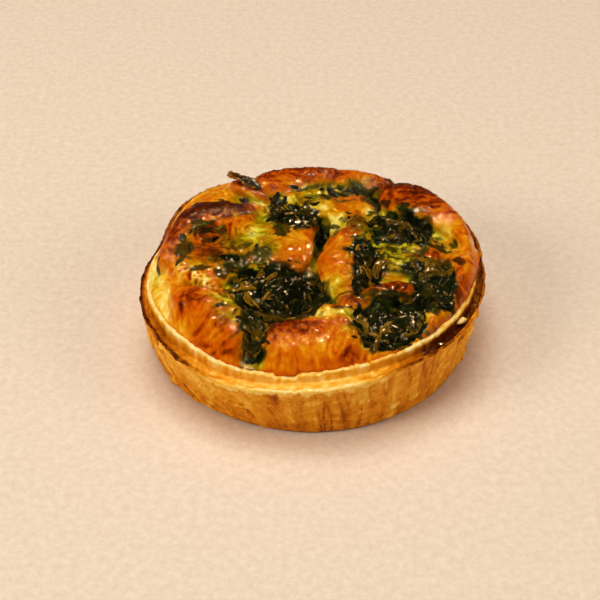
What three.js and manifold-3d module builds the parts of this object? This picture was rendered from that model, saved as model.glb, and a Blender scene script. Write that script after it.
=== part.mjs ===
// A single-portion spinach quiche: a flared shortcrust case with a folded rim, a set custard that
// has risen over the rim in soft domes, and wilted spinach lying in the hollows between them.
// Millimetres, +Z up. The origin is on the table, under the middle of the whole quiche.

import * as THREE from 'three';
import { mergeVertices } from 'three/addons/utils/BufferGeometryUtils.js';
import { SimplexNoise } from 'three/addons/math/SimplexNoise.js';
import Module from 'manifold-3d';

const wasm = await Module();
wasm.setup();

// ---- Driving dimensions ----

// The case. Lists that go round it are evenly spaced, counter-clockwise from +X.
const baseRadii = [51.6, 51.4, 51.4, 51.4, 51.4, 52.0, 53.2, 52.9, 51.5, 51.3, 51.3, 51.5];
const baseCorner = 1.4;
const floorThickness = 3.2;
const floorRadius = 47; // of the inside
const wallFlare = 0.9; // above 1 the wall leans out more towards its top, below 1 towards its foot
const rimRadii = [56.9, 57.3, 57.6, 56.8, 56.0, 55.5, 55.2, 55.8, 57.0, 57.4, 55.2, 53.0, 55.0, 57.4,
  58.2, 58.4, 58.6, 58.2, 57.6, 57.2, 56.8, 56.8, 56.8, 56.8];
const rimHeights = [25.0, 26.2, 26.8, 25.6, 24.0, 22.9, 22.5, 23.4, 24.9, 25.6, 25.6, 24.6, 24.8, 24.3,
  23.4, 22.5, 22.2, 23.0, 24.2, 25.4, 26.2, 26.0, 25.4, 25.0];
const recessDepths = [2.4, 1.8, 1.6, 1.2, 0.8, 0.8, 0.8, 0.8, 0.8, 1.0, 1.0, 0.8, 0.8, 1.4,
  3.0, 3.0, 2.2, 1.2, 0.9, 1.0, 1.8, 2.8, 3.2, 3.0];
const edgeWidth = 1.1; // the thin outer edge of the rim
const foldInsets = [2.6, 2.6, 2.8, 3.0, 3.0, 3.0, 3.0, 3.0, 3.0, 2.8, 2.2, 1.6, 1.6, 1.8,
  3.6, 4.4, 4.4, 4.2, 4.2, 4.2, 4.4, 4.2, 3.8, 3.2]; // from the outer edge in to the face of the fold
const foldBack = 6.2; // from the outer edge in to the back of the fold
const foldRise = 2.2;
const foldBreak = { at: -99, width: 5 }; // degrees; the fold has crumbled away here
const caseCentre = { x: -0.7, y: 1.3 }; // the rim overhangs the base a little unevenly
const crustSteps = 72;

// The custard
const gap = 0.35; // clearance between pieces that lie against each other
const custardLevel = 27.5;
const custardCrown = 1.5; // how much higher the flat custard lies in the middle than at crownRadius
const crownRadius = 50.5;
const custardRings = 19;
const edgeRoll = 5.0; // how far in from its edge the custard curves down
const custardLaps = [3.6, 3.4, 2.6, 2.4, 1.8, 1.8, 1.8, 1.4, 0.8, 1.0, 2.4, 3.8, 1.6, 0.4,
  0.2, 0.1, 0.1, 0.1, 0.1, 0.1, 0.1, 0.1, 0.2, 1.6]; // how far it spreads out over the fold
const lapThickness = 0.7;

// Domes that the custard rose into: outline, height and how far in the shoulder reaches
const domes = [
  { name: 'left', lift: 6.0, shoulder: 8, outline: [[-50, -4], [-48, 14], [-37, 24], [-18, 22], [0, 19],
    [4, 3], [-4, -10], [-20, -11], [-31, -19], [-42, -14]] },
  { name: 'left crest', lift: 8.6, shoulder: 6.5, outline: [[-51, -6], [-50, 13], [-37, 26], [-19, 23],
    [-24, 15], [-37, 10], [-44, -7]] },
  { name: 'back', lift: 6.5, shoulder: 7, outline: [[-24, 38], [-13, 50], [8, 51], [13, 43], [0, 37],
    [-20, 31]] },
  { name: 'back lobe', lift: 5.5, shoulder: 6, outline: [[12, 46], [20, 49], [28, 41], [22, 33], [13, 37]] },
  { name: 'right back', lift: 8.0, shoulder: 8, outline: [[22, 26], [25, 37], [39, 37], [54, 17], [51, -2],
    [43, 11], [30, 17]] },
  { name: 'right side', lift: 4.2, shoulder: 5, outline: [[55, 6], [55, -14], [46, -32], [43, -22], [41, -4],
    [48, 6]] },
  { name: 'crescent', lift: 7.2, shoulder: 9, outline: [[13, 19], [1, -3], [4, -21], [12, -29], [18, -16],
    [22, 2], [19, 17]] },
  { name: 'right middle', lift: 4.5, shoulder: 9, outline: [[20, 22], [38, 13], [45, 3], [41, -10], [24, -14],
    [17, 0]] },
  { name: 'front left', lift: 6.5, shoulder: 10, outline: [[-47, -11], [-41, -15], [-27, -18], [-20, -32],
    [-21, -46], [-37, -43], [-44.5, -31], [-46.5, -20]] },
  { name: 'front', lift: 6.0, shoulder: 9, outline: [[-15, -45], [-12, -34], [0, -31], [9, -28], [15, -40],
    [16, -49], [0, -52]] },
  { name: 'flap', lift: 5.5, shoulder: 4.5, outline: [[14, -22], [24, -15], [33, -18], [25, -26]] },
  { name: 'strip', lift: 3.8, shoulder: 3, outline: [[6, -25], [13, -21], [20, -25], [12, -29]] },
  { name: 'pale mound', lift: 4.4, shoulder: 4, outline: [[0, -31], [7, -25], [14, -29], [7, -34]] },
  { name: 'right front', lift: 3.5, shoulder: 5, outline: [[35, -25], [44, -26], [41, -35], [33, -39],
    [33, -31]] },
  { name: 'back middle', lift: 3.2, shoulder: 7, outline: [[-10, 37], [12, 38], [22, 30], [18, 18], [4, 19],
    [-7, 26]] },
  { name: 'peak', lift: 5.5, shoulder: 3.5, outline: [[-28, 40], [-22, 39], [-14, 29], [-20, 30], [-27, 35]] },
];
const domeCrown = 0.28; // share of a dome's height that builds up beyond its shoulder
const domeBlend = 1.2;

// Sunken places, cut from the domes
const hollows = [
  { name: 'centre', depth: 4.5, shoulder: 9, outline: [[-26, -17], [-21, -29], [-8, -33], [4, -26], [3, -9],
    [-14, -10]] },
  { name: 'crease', depth: 3.5, shoulder: 2.5, outline: [[2, 21], [7, 17], [3, -4], [0, -12], [0, 6]] },
  { name: 'front right', depth: 1.5, shoulder: 4, outline: [[12, -34], [17, -47], [32, -41], [37, -29],
    [24, -29]] },
  { name: 'front gap', depth: 2.5, shoulder: 3, outline: [[-19, -29], [-16, -38], [-17, -49], [-24, -46],
    [-21, -38]] },
];

// Heaps of wilted spinach, each sunk in the custard inside its own outline
const heapDepth = 4.5;
const heapRings = 5;
const heaps = [
  { name: 'spinach_centre', blades: 6, outline: [[-23, -13], [-13, -11], [-3, -10], [2, -14], [4, -22],
    [0, -29], [-9, -32], [-18, -29], [-23, -22]] },
  { name: 'spinach_front', blades: 2, outline: [[-20, -33], [-17, -34], [-15.5, -39], [-16.5, -44], [-21, -44],
    [-21.5, -38]] },
  { name: 'spinach_front_right', blades: 5, outline: [[14, -31], [21, -29], [29, -31], [35, -28], [34, -33],
    [27, -39], [19, -43], [14, -41], [13, -36]] },
  { name: 'spinach_right', blades: 4, outline: [[35, -6], [42, -7], [44, -17], [41, -24], [36, -27],
    [33, -22], [33, -13]] },
  { name: 'spinach_middle', blades: 3, outline: [[14, 0], [19, -3], [23, -8], [20, -15], [15, -20],
    [13, -12]] },
  { name: 'spinach_back', blades: 4, outline: [[-14, 31], [-9, 30], [-6, 24], [1, 21], [3, 14], [-4, 11],
    [-11, 13], [-13, 22]] },
  { name: 'spinach_right_back', blades: 4, outline: [[22, 17], [29, 20], [34, 14], [36, 7], [30, 4],
    [23, 8]] },
];
const blade = { length: 9, width: 5.5, thickness: 0.8, wave: 0.9, alongSteps: 4, acrossSteps: 2 };
const heapRelief = 0.9;
const heapReliefSize = 5.5;

// A single dark leaf whose tip has curled up clear of the custard at the back left
const curl = {
  name: 'leaf_curl', foot: [[-24, 34], [-19, 31.5], [-17, 33.5], [-20, 37], [-24, 38]], footRise: 1.6,
  start: [-17.5, 32.5], middle: [-23, 36], tip: [-28.5, 39.5], lift: 1.5, tipHeight: 34.8,
  width: 5.4, thickness: 0.9,
};

// Roughness of baked pastry and custard
const rimRaggedness = 0.35;
const wallRelief = 0.3;
const custardRelief = 0.45;
const custardReliefSize = 9;
const mergeTolerance = 1e-3;

// ---- Shared helpers ----

// A repeatable source of numbers between 0 and 1
function seededRandom(seed) {
  let state = seed;
  return () => {
    state = (state * 16807) % 2147483647;
    return state / 2147483647;
  };
}

const noise = new SimplexNoise({ random: seededRandom(71) });

function radians(degrees) {
  return THREE.MathUtils.degToRad(degrees);
}

// A smooth closed curve through values that are spaced evenly round the case
function around(values, angle) {
  const count = values.length;
  const turn = THREE.MathUtils.euclideanModulo(angle / (2 * Math.PI), 1) * count;
  const first = Math.floor(turn);
  const t = turn - first;
  const [a, b, c, d] = [-1, 0, 1, 2].map((k) => values[(first + k + count) % count]);
  return 0.5 * (2 * b + (c - a) * t + (2 * a - 5 * b + 4 * c - d) * t ** 2 + (3 * b - a - 3 * c + d) * t ** 3);
}

// A smooth closed curve through an outline's points, always counter-clockwise
function closedCurve(outline) {
  const points = outline.map(([x, y]) => new THREE.Vector3(x, y, 0));
  if (THREE.ShapeUtils.area(points) < 0) points.reverse();
  return new THREE.CatmullRomCurve3(points, true, 'catmullrom', 0.5);
}

// How far inside a closed ring of points a place lies, and 0 outside it
function depthInside(x, y, ring) {
  let inside = false;
  let nearest = Infinity;
  for (let i = 0; i < ring.length; i++) {
    const a = ring[i];
    const b = ring[(i + 1) % ring.length];
    const [dx, dy] = [b.x - a.x, b.y - a.y];
    const t = THREE.MathUtils.clamp(((x - a.x) * dx + (y - a.y) * dy) / (dx * dx + dy * dy), 0, 1);
    nearest = Math.min(nearest, Math.hypot(x - a.x - t * dx, y - a.y - t * dy));
    if (a.y > y !== b.y > y && x < a.x + (dx * (y - a.y)) / dy) inside = !inside;
  }
  return inside ? nearest : 0;
}

function smoothMax(a, b, reach) {
  const t = THREE.MathUtils.clamp(0.5 + (0.5 * (a - b)) / reach, 0, 1);
  return b + (a - b) * t + reach * t * (1 - t);
}

function roundedRise(t) {
  return Math.sqrt(1 - (1 - t) ** 2);
}

function toSolid(geometry) {
  const bare = geometry.clone();
  bare.deleteAttribute('normal');
  bare.deleteAttribute('uv');
  const merged = mergeVertices(bare, mergeTolerance);
  return new wasm.Manifold(new wasm.Mesh({
    numProp: 3,
    vertProperties: new Float32Array(merged.attributes.position.array),
    triVerts: new Uint32Array(merged.index.array),
  }));
}

function toGeometry(solid) {
  const { vertProperties, triVerts } = solid.getMesh();
  const geometry = new THREE.BufferGeometry();
  geometry.setAttribute('position', new THREE.BufferAttribute(new Float32Array(vertProperties), 3));
  geometry.setIndex(new THREE.BufferAttribute(new Uint32Array(triVerts), 1));
  geometry.computeVertexNormals();
  return geometry;
}

// The largest single body of a solid, so that no loose scrap is left beside it
function mainBody(solid) {
  return solid.decompose().reduce((best, body) => (body.volume() > best.volume() ? body : best));
}

// A closed solid whose top is a disc of nested rings, each six points longer than the last.
// edge(share) gives the outline at 0 to 1 of the way round, top(x, y, reach) the height at
// 0 to 1 of the way out, and each row of skirt one ring further down the side.
function domedSolid({ rings, centre, edge, top, skirt, floor }) {
  const points = [[centre.x, centre.y, top(centre.x, centre.y, 0)]];
  const faces = [];
  for (let ring = 1; ring <= rings; ring++) {
    for (let i = 0; i < 6 * ring; i++) {
      const reach = ring / rings;
      const end = edge(i / (6 * ring));
      const x = centre.x + (end.x - centre.x) * reach;
      const y = centre.y + (end.y - centre.y) * reach;
      points.push([x, y, top(x, y, reach)]);
    }
  }
  const index = (ring, i) => (ring === 0 ? 0 : 1 + 3 * ring * (ring - 1) + (i % (6 * ring)));
  for (let ring = 0; ring < rings; ring++) {
    for (let sector = 0; sector < 6; sector++) {
      for (let i = 0; i <= ring; i++) {
        const inner = index(ring, sector * ring + i);
        const outer = sector * (ring + 1) + i;
        faces.push([inner, index(ring + 1, outer), index(ring + 1, outer + 1)]);
        if (i < ring) faces.push([inner, index(ring + 1, outer + 1), index(ring, sector * ring + i + 1)]);
      }
    }
  }
  const count = 6 * rings;
  let upper = index(rings, 0);
  for (const row of skirt) {
    const lower = points.length;
    for (let i = 0; i < count; i++) {
      points.push(row(i / count));
      const next = (i + 1) % count;
      faces.push([upper + i, lower + i, lower + next], [upper + i, lower + next, upper + next]);
    }
    upper = lower;
  }
  points.push([centre.x, centre.y, floor]);
  for (let i = 0; i < count; i++) faces.push([points.length - 1, upper + ((i + 1) % count), upper + i]);
  const geometry = new THREE.BufferGeometry();
  geometry.setAttribute('position', new THREE.Float32BufferAttribute(points.flat(), 3));
  geometry.setIndex(faces.flat());
  return geometry;
}

// ---- Crust ----

// Height of the fold above the rim, which drops to nothing where it has broken away
function foldHeight(angle) {
  const off = THREE.MathUtils.euclideanModulo(angle - radians(foldBreak.at) + Math.PI, 2 * Math.PI) - Math.PI;
  const whole = THREE.MathUtils.smoothstep(Math.abs(off), radians(foldBreak.width) / 2, radians(foldBreak.width));
  return foldRise * whole;
}

// The crust's section at one angle, from the middle of the underside out, over the rim and in
function crustSection(angle) {
  const base = around(baseRadii, angle);
  const rim = around(rimRadii, angle);
  const height = around(rimHeights, angle);
  const edgeHeight = height + rimRaggedness * noise.noise(Math.cos(angle) * 8, Math.sin(angle) * 8);
  const recess = height - around(recessDepths, angle);
  const fold = height + foldHeight(angle);
  const wall = [0.12, 0.45, 0.78].map((share) => {
    const relief = wallRelief * noise.noise3d(Math.cos(angle) * 7, Math.sin(angle) * 7, share * 3);
    return [base + (rim - base) * share ** wallFlare + relief, height * share];
  });
  const foldFace = rim - around(foldInsets, angle);
  return [
    [0, 0],
    [base - baseCorner, 0],
    [base - 0.3 * baseCorner, 0.3 * baseCorner],
    ...wall,
    [rim - 0.1, edgeHeight - 0.7],
    [rim - 0.4, edgeHeight],
    [rim - edgeWidth, edgeHeight - 0.1],
    [rim - edgeWidth - 0.4, recess],
    [foldFace - 0.1, recess + 0.3],
    [foldFace - 0.3, fold - 0.4],
    [foldFace - 0.6, fold],
    [rim - foldBack, fold],
    [rim - foldBack - 0.3, height - 1],
    [floorRadius, floorThickness],
    [0, floorThickness],
  ];
}

function makeCrust() {
  const rows = crustSection(0).map(([radius, height]) => new THREE.Vector2(radius, height));
  const geometry = new THREE.LatheGeometry(rows, crustSteps);
  for (let step = 0; step <= crustSteps; step++) {
    const angle = ((step % crustSteps) / crustSteps) * 2 * Math.PI;
    crustSection(angle).forEach(([radius, height], row) => {
      const vertex = step * rows.length + row;
      const [x, y] = [radius * Math.cos(angle), radius * Math.sin(angle)];
      geometry.attributes.position.setXYZ(vertex, x, y, height);
    });
  }
  geometry.computeVertexNormals();
  return geometry;
}

// ---- Custard ----

for (const form of [...domes, ...hollows]) form.ring = closedCurve(form.outline).getPoints(48).slice(0, -1);

function insideRadius(angle) {
  return around(rimRadii, angle) - foldBack - 0.3 - gap;
}

function custardEdge(angle) {
  return insideRadius(angle) + around(custardLaps, angle);
}

// Underside of the custard where it lies over the fold
function lapHeight(angle) {
  return around(rimHeights, angle) + foldRise + gap;
}

function custardTop(x, y) {
  const radius = Math.hypot(x, y);
  const angle = Math.atan2(y, x);
  let rise = 0;
  for (const dome of domes) {
    const depth = depthInside(x, y, dome.ring);
    const shoulder = roundedRise(Math.min(depth / dome.shoulder, 1));
    const crown = roundedRise(Math.min(depth / (2.2 * dome.shoulder), 1));
    rise = smoothMax(rise, dome.lift * ((1 - domeCrown) * shoulder + domeCrown * crown), domeBlend);
  }
  for (const hollow of hollows) {
    rise -= hollow.depth * THREE.MathUtils.smoothstep(depthInside(x, y, hollow.ring), 0, hollow.shoulder);
  }
  const level = custardLevel + custardCrown * (1 - (radius / crownRadius) ** 2);
  const relief = custardRelief * noise.noise(x / custardReliefSize, y / custardReliefSize);
  const edgeLevel = lapHeight(angle) + lapThickness;
  const inward = THREE.MathUtils.clamp((custardEdge(angle) - radius) / edgeRoll, 0, 1);
  return edgeLevel + (level + rise + relief - edgeLevel) * roundedRise(inward);
}

function makeCustard(wells) {
  const ringPoint = (share, radius, height) => {
    const angle = share * 2 * Math.PI;
    return [radius(angle) * Math.cos(angle), radius(angle) * Math.sin(angle), height(angle)];
  };
  const floor = floorThickness + gap;
  const body = toSolid(domedSolid({
    rings: custardRings,
    centre: { x: 0, y: 0 },
    edge: (share) => {
      const [x, y] = ringPoint(share, custardEdge, lapHeight);
      return { x, y };
    },
    top: custardTop,
    skirt: [
      (share) => ringPoint(share, custardEdge, lapHeight),
      (share) => ringPoint(share, insideRadius, lapHeight),
      (share) => ringPoint(share, () => floorRadius - gap, () => floor),
    ],
    floor,
  }));
  return toGeometry(mainBody(wells.reduce((rest, well) => rest.subtract(well), body)));
}

// ---- Spinach ----

function middleOf(points) {
  const box = new THREE.Box2().setFromPoints(points.map(({ x, y }) => new THREE.Vector2(x, y)));
  return box.getCenter(new THREE.Vector2());
}

// A straight-sided prism on an outline, grown sideways by a margin
function prism(ring, margin, bottom, top) {
  const grown = ring.map((point, i) => {
    const before = ring[(i + ring.length - 1) % ring.length];
    const after = ring[(i + 1) % ring.length];
    const outward = new THREE.Vector2(after.y - before.y, before.x - after.x).normalize();
    return new THREE.Vector2(point.x + outward.x * margin, point.y + outward.y * margin);
  });
  const geometry = new THREE.ExtrudeGeometry(new THREE.Shape(grown), { depth: top - bottom, bevelEnabled: false });
  geometry.translate(0, 0, bottom);
  return toSolid(geometry);
}

// A thin closed sheet over a grid, with both faces split into triangles alike
function sheetSolid(alongSteps, acrossSteps, place) {
  const points = [];
  const faces = [];
  const columns = acrossSteps + 1;
  const layer = (alongSteps + 1) * columns;
  for (const side of [1, -1]) {
    for (let i = 0; i <= alongSteps; i++) {
      for (let j = 0; j <= acrossSteps; j++) points.push(place(i / alongSteps, (2 * j) / acrossSteps - 1, side));
    }
  }
  for (let i = 0; i < alongSteps; i++) {
    for (let j = 0; j < acrossSteps; j++) {
      const corner = i * columns + j;
      const [a, b, c, d] = [corner, corner + columns, corner + columns + 1, corner + 1];
      faces.push([a, b, c], [a, c, d], [layer + a, layer + c, layer + b], [layer + a, layer + d, layer + c]);
    }
  }
  const rim = [];
  for (let i = 0; i < alongSteps; i++) rim.push(i * columns);
  for (let j = 0; j < acrossSteps; j++) rim.push(alongSteps * columns + j);
  for (let i = alongSteps; i > 0; i--) rim.push(i * columns + acrossSteps);
  for (let j = acrossSteps; j > 0; j--) rim.push(j);
  rim.forEach((a, i) => {
    const b = rim[(i + 1) % rim.length];
    faces.push([b, a, layer + a], [b, layer + a, layer + b]);
  });
  const geometry = new THREE.BufferGeometry();
  geometry.setAttribute('position', new THREE.Float32BufferAttribute(points.flat(), 3));
  geometry.setIndex(faces.flat());
  return toSolid(geometry);
}

// One wilted leaf lying on the heap, wavy and blunt at both ends
function wiltedBlade(x, y, heading, lift, phase) {
  return sheetSolid(blade.alongSteps, blade.acrossSteps, (along, across, side) => {
    const halfWidth = (blade.width / 2) * (0.35 + 0.65 * Math.sin(Math.PI * along));
    const [u, v] = [(along - 0.5) * blade.length, across * halfWidth];
    const px = x + u * Math.cos(heading) - v * Math.sin(heading);
    const py = y + u * Math.sin(heading) + v * Math.cos(heading);
    const wave = blade.wave * Math.sin(phase + 5 * along + 1.7 * across);
    return [px, py, custardTop(px, py) + lift + wave + (side * blade.thickness) / 2];
  });
}

function makeHeap({ outline, blades }, order) {
  const curve = closedCurve(outline);
  const ring = curve.getPoints(6 * heapRings).slice(0, -1);
  const centre = middleOf(ring);
  const random = seededRandom(1000 + 37 * order);
  const bottom = Math.min(...ring.map(({ x, y }) => custardTop(x, y))) - heapDepth;
  const reliefAt = (x, y) => heapRelief * (0.6 + noise.noise(x / heapReliefSize + 9 * order, y / heapReliefSize));
  let heap = toSolid(domedSolid({
    rings: heapRings,
    centre,
    edge: (share) => curve.getPoint(share),
    top: (x, y, reach) => custardTop(x, y) + reliefAt(x, y) * (1 - reach ** 4),
    skirt: [(share) => {
      const { x, y } = curve.getPoint(share);
      return [x, y, bottom];
    }],
    floor: bottom,
  }));
  for (let i = 0; i < blades; i++) {
    const spot = ring[Math.floor(((i + random() * 0.5) / blades) * ring.length)];
    const reach = 0.25 + 0.45 * random();
    const [x, y] = [centre.x + (spot.x - centre.x) * reach, centre.y + (spot.y - centre.y) * reach];
    heap = heap.add(wiltedBlade(x, y, random() * Math.PI * 2, 0.5 + 0.5 * random(), random() * 6));
  }
  const room = prism(ring, 0, bottom - 1, 60);
  return { solid: mainBody(heap.intersect(room)), well: prism(ring, gap, bottom - gap, 60) };
}

function makeCurl() {
  const curve = closedCurve(curl.foot);
  const ring = curve.getPoints(18).slice(0, -1);
  const centre = middleOf(ring);
  const bottom = custardTop(centre.x, centre.y) - heapDepth;
  const foot = toSolid(domedSolid({
    rings: 3,
    centre,
    edge: (share) => curve.getPoint(share),
    top: (x, y, reach) => custardTop(x, y) + curl.footRise * (1 - reach ** 2),
    skirt: [(share) => {
      const { x, y } = curve.getPoint(share);
      return [x, y, bottom];
    }],
    floor: bottom,
  }));
  const [start, middle] = [curl.start, curl.middle].map(([x, y]) => (
    new THREE.Vector3(x, y, custardTop(x, y) + curl.lift)));
  const spine = new THREE.QuadraticBezierCurve3(start, middle, new THREE.Vector3(...curl.tip, curl.tipHeight));
  const leaf = sheetSolid(7, 3, (along, across, side) => {
    const point = spine.getPoint(along);
    const forward = spine.getTangent(along);
    const sideways = new THREE.Vector3(-forward.y, forward.x, 0).normalize();
    const up = new THREE.Vector3().crossVectors(forward, sideways).normalize();
    const halfWidth = (curl.width / 2) * (1 - 0.62 * along ** 1.5);
    const cup = 0.9 * across * across + 0.35 * Math.sin(7 * along + 2 * across);
    point.addScaledVector(sideways, across * halfWidth);
    point.addScaledVector(up, cup + (side * curl.thickness) / 2);
    return point.toArray();
  });
  return { solid: mainBody(foot.add(leaf)), well: prism(ring, gap, bottom - gap, 60) };
}

// ---- Assembly ----

const finishes = {
  crust: new THREE.MeshStandardMaterial({ color: 0xcf9246, roughness: 0.75, metalness: 0 }),
  custard: new THREE.MeshStandardMaterial({ color: 0xc9772c, roughness: 0.35, metalness: 0 }),
  spinach: new THREE.MeshStandardMaterial({ color: 0x2b3717, roughness: 0.4, metalness: 0 }),
  charred: new THREE.MeshStandardMaterial({ color: 0x3d2a16, roughness: 0.5, metalness: 0 }),
};

const quiche = new THREE.Group();
quiche.position.set(caseCentre.x, caseCentre.y, 0);

function addPiece(name, geometry, finish) {
  const mesh = new THREE.Mesh(geometry, finish);
  mesh.name = name;
  quiche.add(mesh);
}

const heapPieces = heaps.map((heap, order) => ({ name: heap.name, ...makeHeap(heap, order) }));
const curlPiece = makeCurl();
addPiece('crust', makeCrust(), finishes.crust);
addPiece('filling', makeCustard([...heapPieces, curlPiece].map(({ well }) => well)), finishes.custard);
for (const { name, solid } of heapPieces) addPiece(name, toGeometry(solid), finishes.spinach);
addPiece(curl.name, toGeometry(curlPiece.solid), finishes.charred);

export default quiche;
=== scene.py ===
import math
from functools import partial

import bpy
import numpy as np
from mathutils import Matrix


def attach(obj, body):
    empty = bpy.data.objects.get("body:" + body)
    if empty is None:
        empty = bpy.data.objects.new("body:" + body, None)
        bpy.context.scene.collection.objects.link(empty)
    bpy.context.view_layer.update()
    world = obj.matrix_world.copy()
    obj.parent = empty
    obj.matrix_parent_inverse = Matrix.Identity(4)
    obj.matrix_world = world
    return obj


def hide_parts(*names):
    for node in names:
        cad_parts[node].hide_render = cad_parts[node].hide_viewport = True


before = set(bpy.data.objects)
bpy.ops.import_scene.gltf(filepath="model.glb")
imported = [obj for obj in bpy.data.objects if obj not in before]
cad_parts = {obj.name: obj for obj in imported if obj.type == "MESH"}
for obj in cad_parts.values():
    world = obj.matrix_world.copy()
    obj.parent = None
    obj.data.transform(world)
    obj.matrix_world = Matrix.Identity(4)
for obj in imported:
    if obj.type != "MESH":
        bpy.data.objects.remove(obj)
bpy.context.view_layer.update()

mm = 0.001
fullTurn = 2 * math.pi
caseCentre = np.array([-0.7, 1.3, 0.0])  # mm, middle of the round base in the frame


# An sRGB hex colour in the linear values that shaders take
def linearColour(hexText):
    channels = [int(hexText[i:i + 2], 16) / 255 for i in (1, 3, 5)]
    return [c / 12.92 if c <= 0.04045 else ((c + 0.055) / 1.055) ** 2.4 for c in channels] + [1.0]


def fillRamp(ramp, stops):
    while len(ramp.elements) < len(stops):
        ramp.elements.new(0.5)
    for element, (place, hexText) in zip(ramp.elements, stops):
        element.position = place
        element.color = linearColour(hexText)


# Settings are input values, node properties or a ramp's stops; links are sockets for its inputs
def setNode(node, settings, links):
    for key, value in settings.items():
        if key == "stops":
            fillRamp(node.color_ramp, value)
        elif isinstance(key, int) or key in node.inputs:
            node.inputs[key].default_value = value
        else:
            setattr(node, key, value)
    for key, socket in links.items():
        node.id_data.links.new(socket, node.inputs[key])


def addNode(tree, kind, settings, links, output=0):
    node = tree.nodes.new("ShaderNode" + kind)
    setNode(node, settings, links)
    return node.outputs[output]


# Gives the material, its shader, a way to add nodes to it and the place on the object for its patterns
def startMaterial(name):
    material = bpy.data.materials.new(name)
    material.use_nodes = True
    add = partial(addNode, material.node_tree)
    return material, material.node_tree.nodes["Principled BSDF"], add, add("TexCoord", {}, {}, "Object")


def smoothStep(value, low, high):
    t = np.clip((value - low) / (high - low), 0, 1)
    return t * t * (3 - 2 * t)


# Smooth random field, about -1 to 1, whose lumps are size mm across; a place is (x, y) or (x, y, z)
def grain(place, size, seed):
    spots = [np.asarray(v, float) / size for v in np.broadcast_arrays(*place, *[0] * (3 - len(place)))]
    whole = [np.floor(v).astype(np.int64) for v in spots]
    part = [v - w for v, w in zip(spots, whole)]
    fade = [p * p * p * (p * (6 * p - 15) + 10) for p in part]
    total = np.zeros(part[0].shape)
    for corner in range(8):
        step = [corner & 1, corner >> 1 & 1, corner >> 2 & 1]
        code = sum((w + s) * k for w, s, k in zip(whole, step, (374761393, 668265263, 1440662683)))
        code = (code + seed * 974711) & 0xFFFFFFFF
        code = ((code ^ (code >> 13)) * 1274126177) & 0xFFFFFFFF
        code = ((code ^ (code >> 16)) * 668265263) & 0xFFFFFFFF
        code ^= code >> 15
        slope = sum(((code >> shift & 1023) / 511.5 - 1) * (p - s)
                    for shift, p, s in zip((0, 10, 20), part, step))
        for f, s in zip(fade, step):
            slope = slope * (f if s else 1 - f)
        total += slope
    return total * 1.6


def fractal(place, size, seed, octaves=2):
    layers = [grain(place, size / 2 ** k, seed + k) / 2 ** k for k in range(octaves)]
    return sum(layers) / sum(0.5 ** k for k in range(octaves)) * 1.3


# Thin raised creases: 1 along them, falling off to 0 between
def creases(place, size, seed, sharpness=2):
    return (1 - np.clip(np.abs(grain(place, size, seed)) * 1.4, 0, 1)) ** sharpness


def ringAt(radius, angle):
    return radius * np.cos(angle), radius * np.sin(angle)


# How far one angle lies from another the short way round
def turnBetween(angle, other):
    return np.mod(angle - other + math.pi, fullTurn) - math.pi


# 1 on the case's side at an angle in degrees, 0 away from it; low and high are cosines of the turn from it
def facing(angle, side, low, high):
    return smoothStep(np.cos(angle - math.radians(side)), low, high)


# How far along and across a heading in degrees each place lies from a middle point
def alongAcross(x, y, middleX, middleY, heading):
    c, s = math.cos(math.radians(heading)), math.sin(math.radians(heading))
    return (x - middleX) * c + (y - middleY) * s, (y - middleY) * c - (x - middleX) * s


# The smooth curve through a, b, c and d, at t of the way from b to c
def curveThrough(a, b, c, d, t):
    bend, twist = 2 * a - 5 * b + 4 * c - d, 3 * b - a - 3 * c + d
    return 0.5 * (2 * b + (c - a) * t + bend * t ** 2 + twist * t ** 3)


# A smooth curve through values spaced evenly round the case
def around(values, angle):
    place = np.mod(angle / fullTurn, 1) * len(values)
    first = np.floor(place).astype(int)
    near = [np.asarray(values, float)[(first + k) % len(values)] for k in (-1, 0, 1, 2)]
    return curveThrough(*near, place - first)


def closedCurve(outline, steps=8):
    near = [np.roll(np.asarray(outline, float), -k, 0)[:, None] for k in (-1, 0, 1, 2)]
    return curveThrough(*near, (np.arange(steps) / steps)[:, None]).reshape(-1, 2)


# How far inside an outline each place lies, and 0 outside it
def insideDepth(x, y, outline):
    ring = closedCurve(outline)
    low, high = ring.min(0), ring.max(0)
    near = (x > low[0]) & (x < high[0]) & (y > low[1]) & (y < high[1])
    px, py = x[near], y[near]
    nearest = np.full(px.shape, 1e9)
    inside = np.zeros(px.shape, bool)
    for (ax, ay), (bx, by) in zip(ring, np.roll(ring, -1, 0)):
        dx, dy = bx - ax, by - ay
        t = np.clip(((px - ax) * dx + (py - ay) * dy) / (dx * dx + dy * dy), 0, 1)
        nearest = np.minimum(nearest, np.hypot(px - ax - t * dx, py - ay - t * dy))
        inside ^= ((ay > py) != (by > py)) & (px < ax + dx * (py - ay) / (dy if dy else 1e-9))
    depth = np.zeros(x.shape)
    depth[near] = np.where(inside, nearest, 0)
    return depth


# Nested rings from a middle point, each six points longer than the last, as (share round, share out)
def ringDisc(rings):
    shares, reaches, faces = [np.zeros(1)], [np.zeros(1)], []
    for ring in range(1, rings + 1):
        shares.append(np.arange(6 * ring) / (6 * ring))
        reaches.append(np.full(6 * ring, ring / rings))
    first = [0] + [1 + 3 * k * (k - 1) for k in range(1, rings + 1)]
    for ring in range(rings):
        inner, outer = max(6 * ring, 1), 6 * (ring + 1)
        i = np.arange(ring + 1)
        for sector in range(6):
            near, far = sector * ring + i, sector * (ring + 1) + i
            a, d = first[ring] + near % inner, first[ring] + (near + 1) % inner
            b, c = first[ring + 1] + far % outer, first[ring + 1] + (far + 1) % outer
            faces.append(np.stack([a, b, c], 1))
            faces.append(np.stack([a, c, d], 1)[:ring])
    return np.concatenate(shares), np.concatenate(reaches), np.concatenate(faces)


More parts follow.
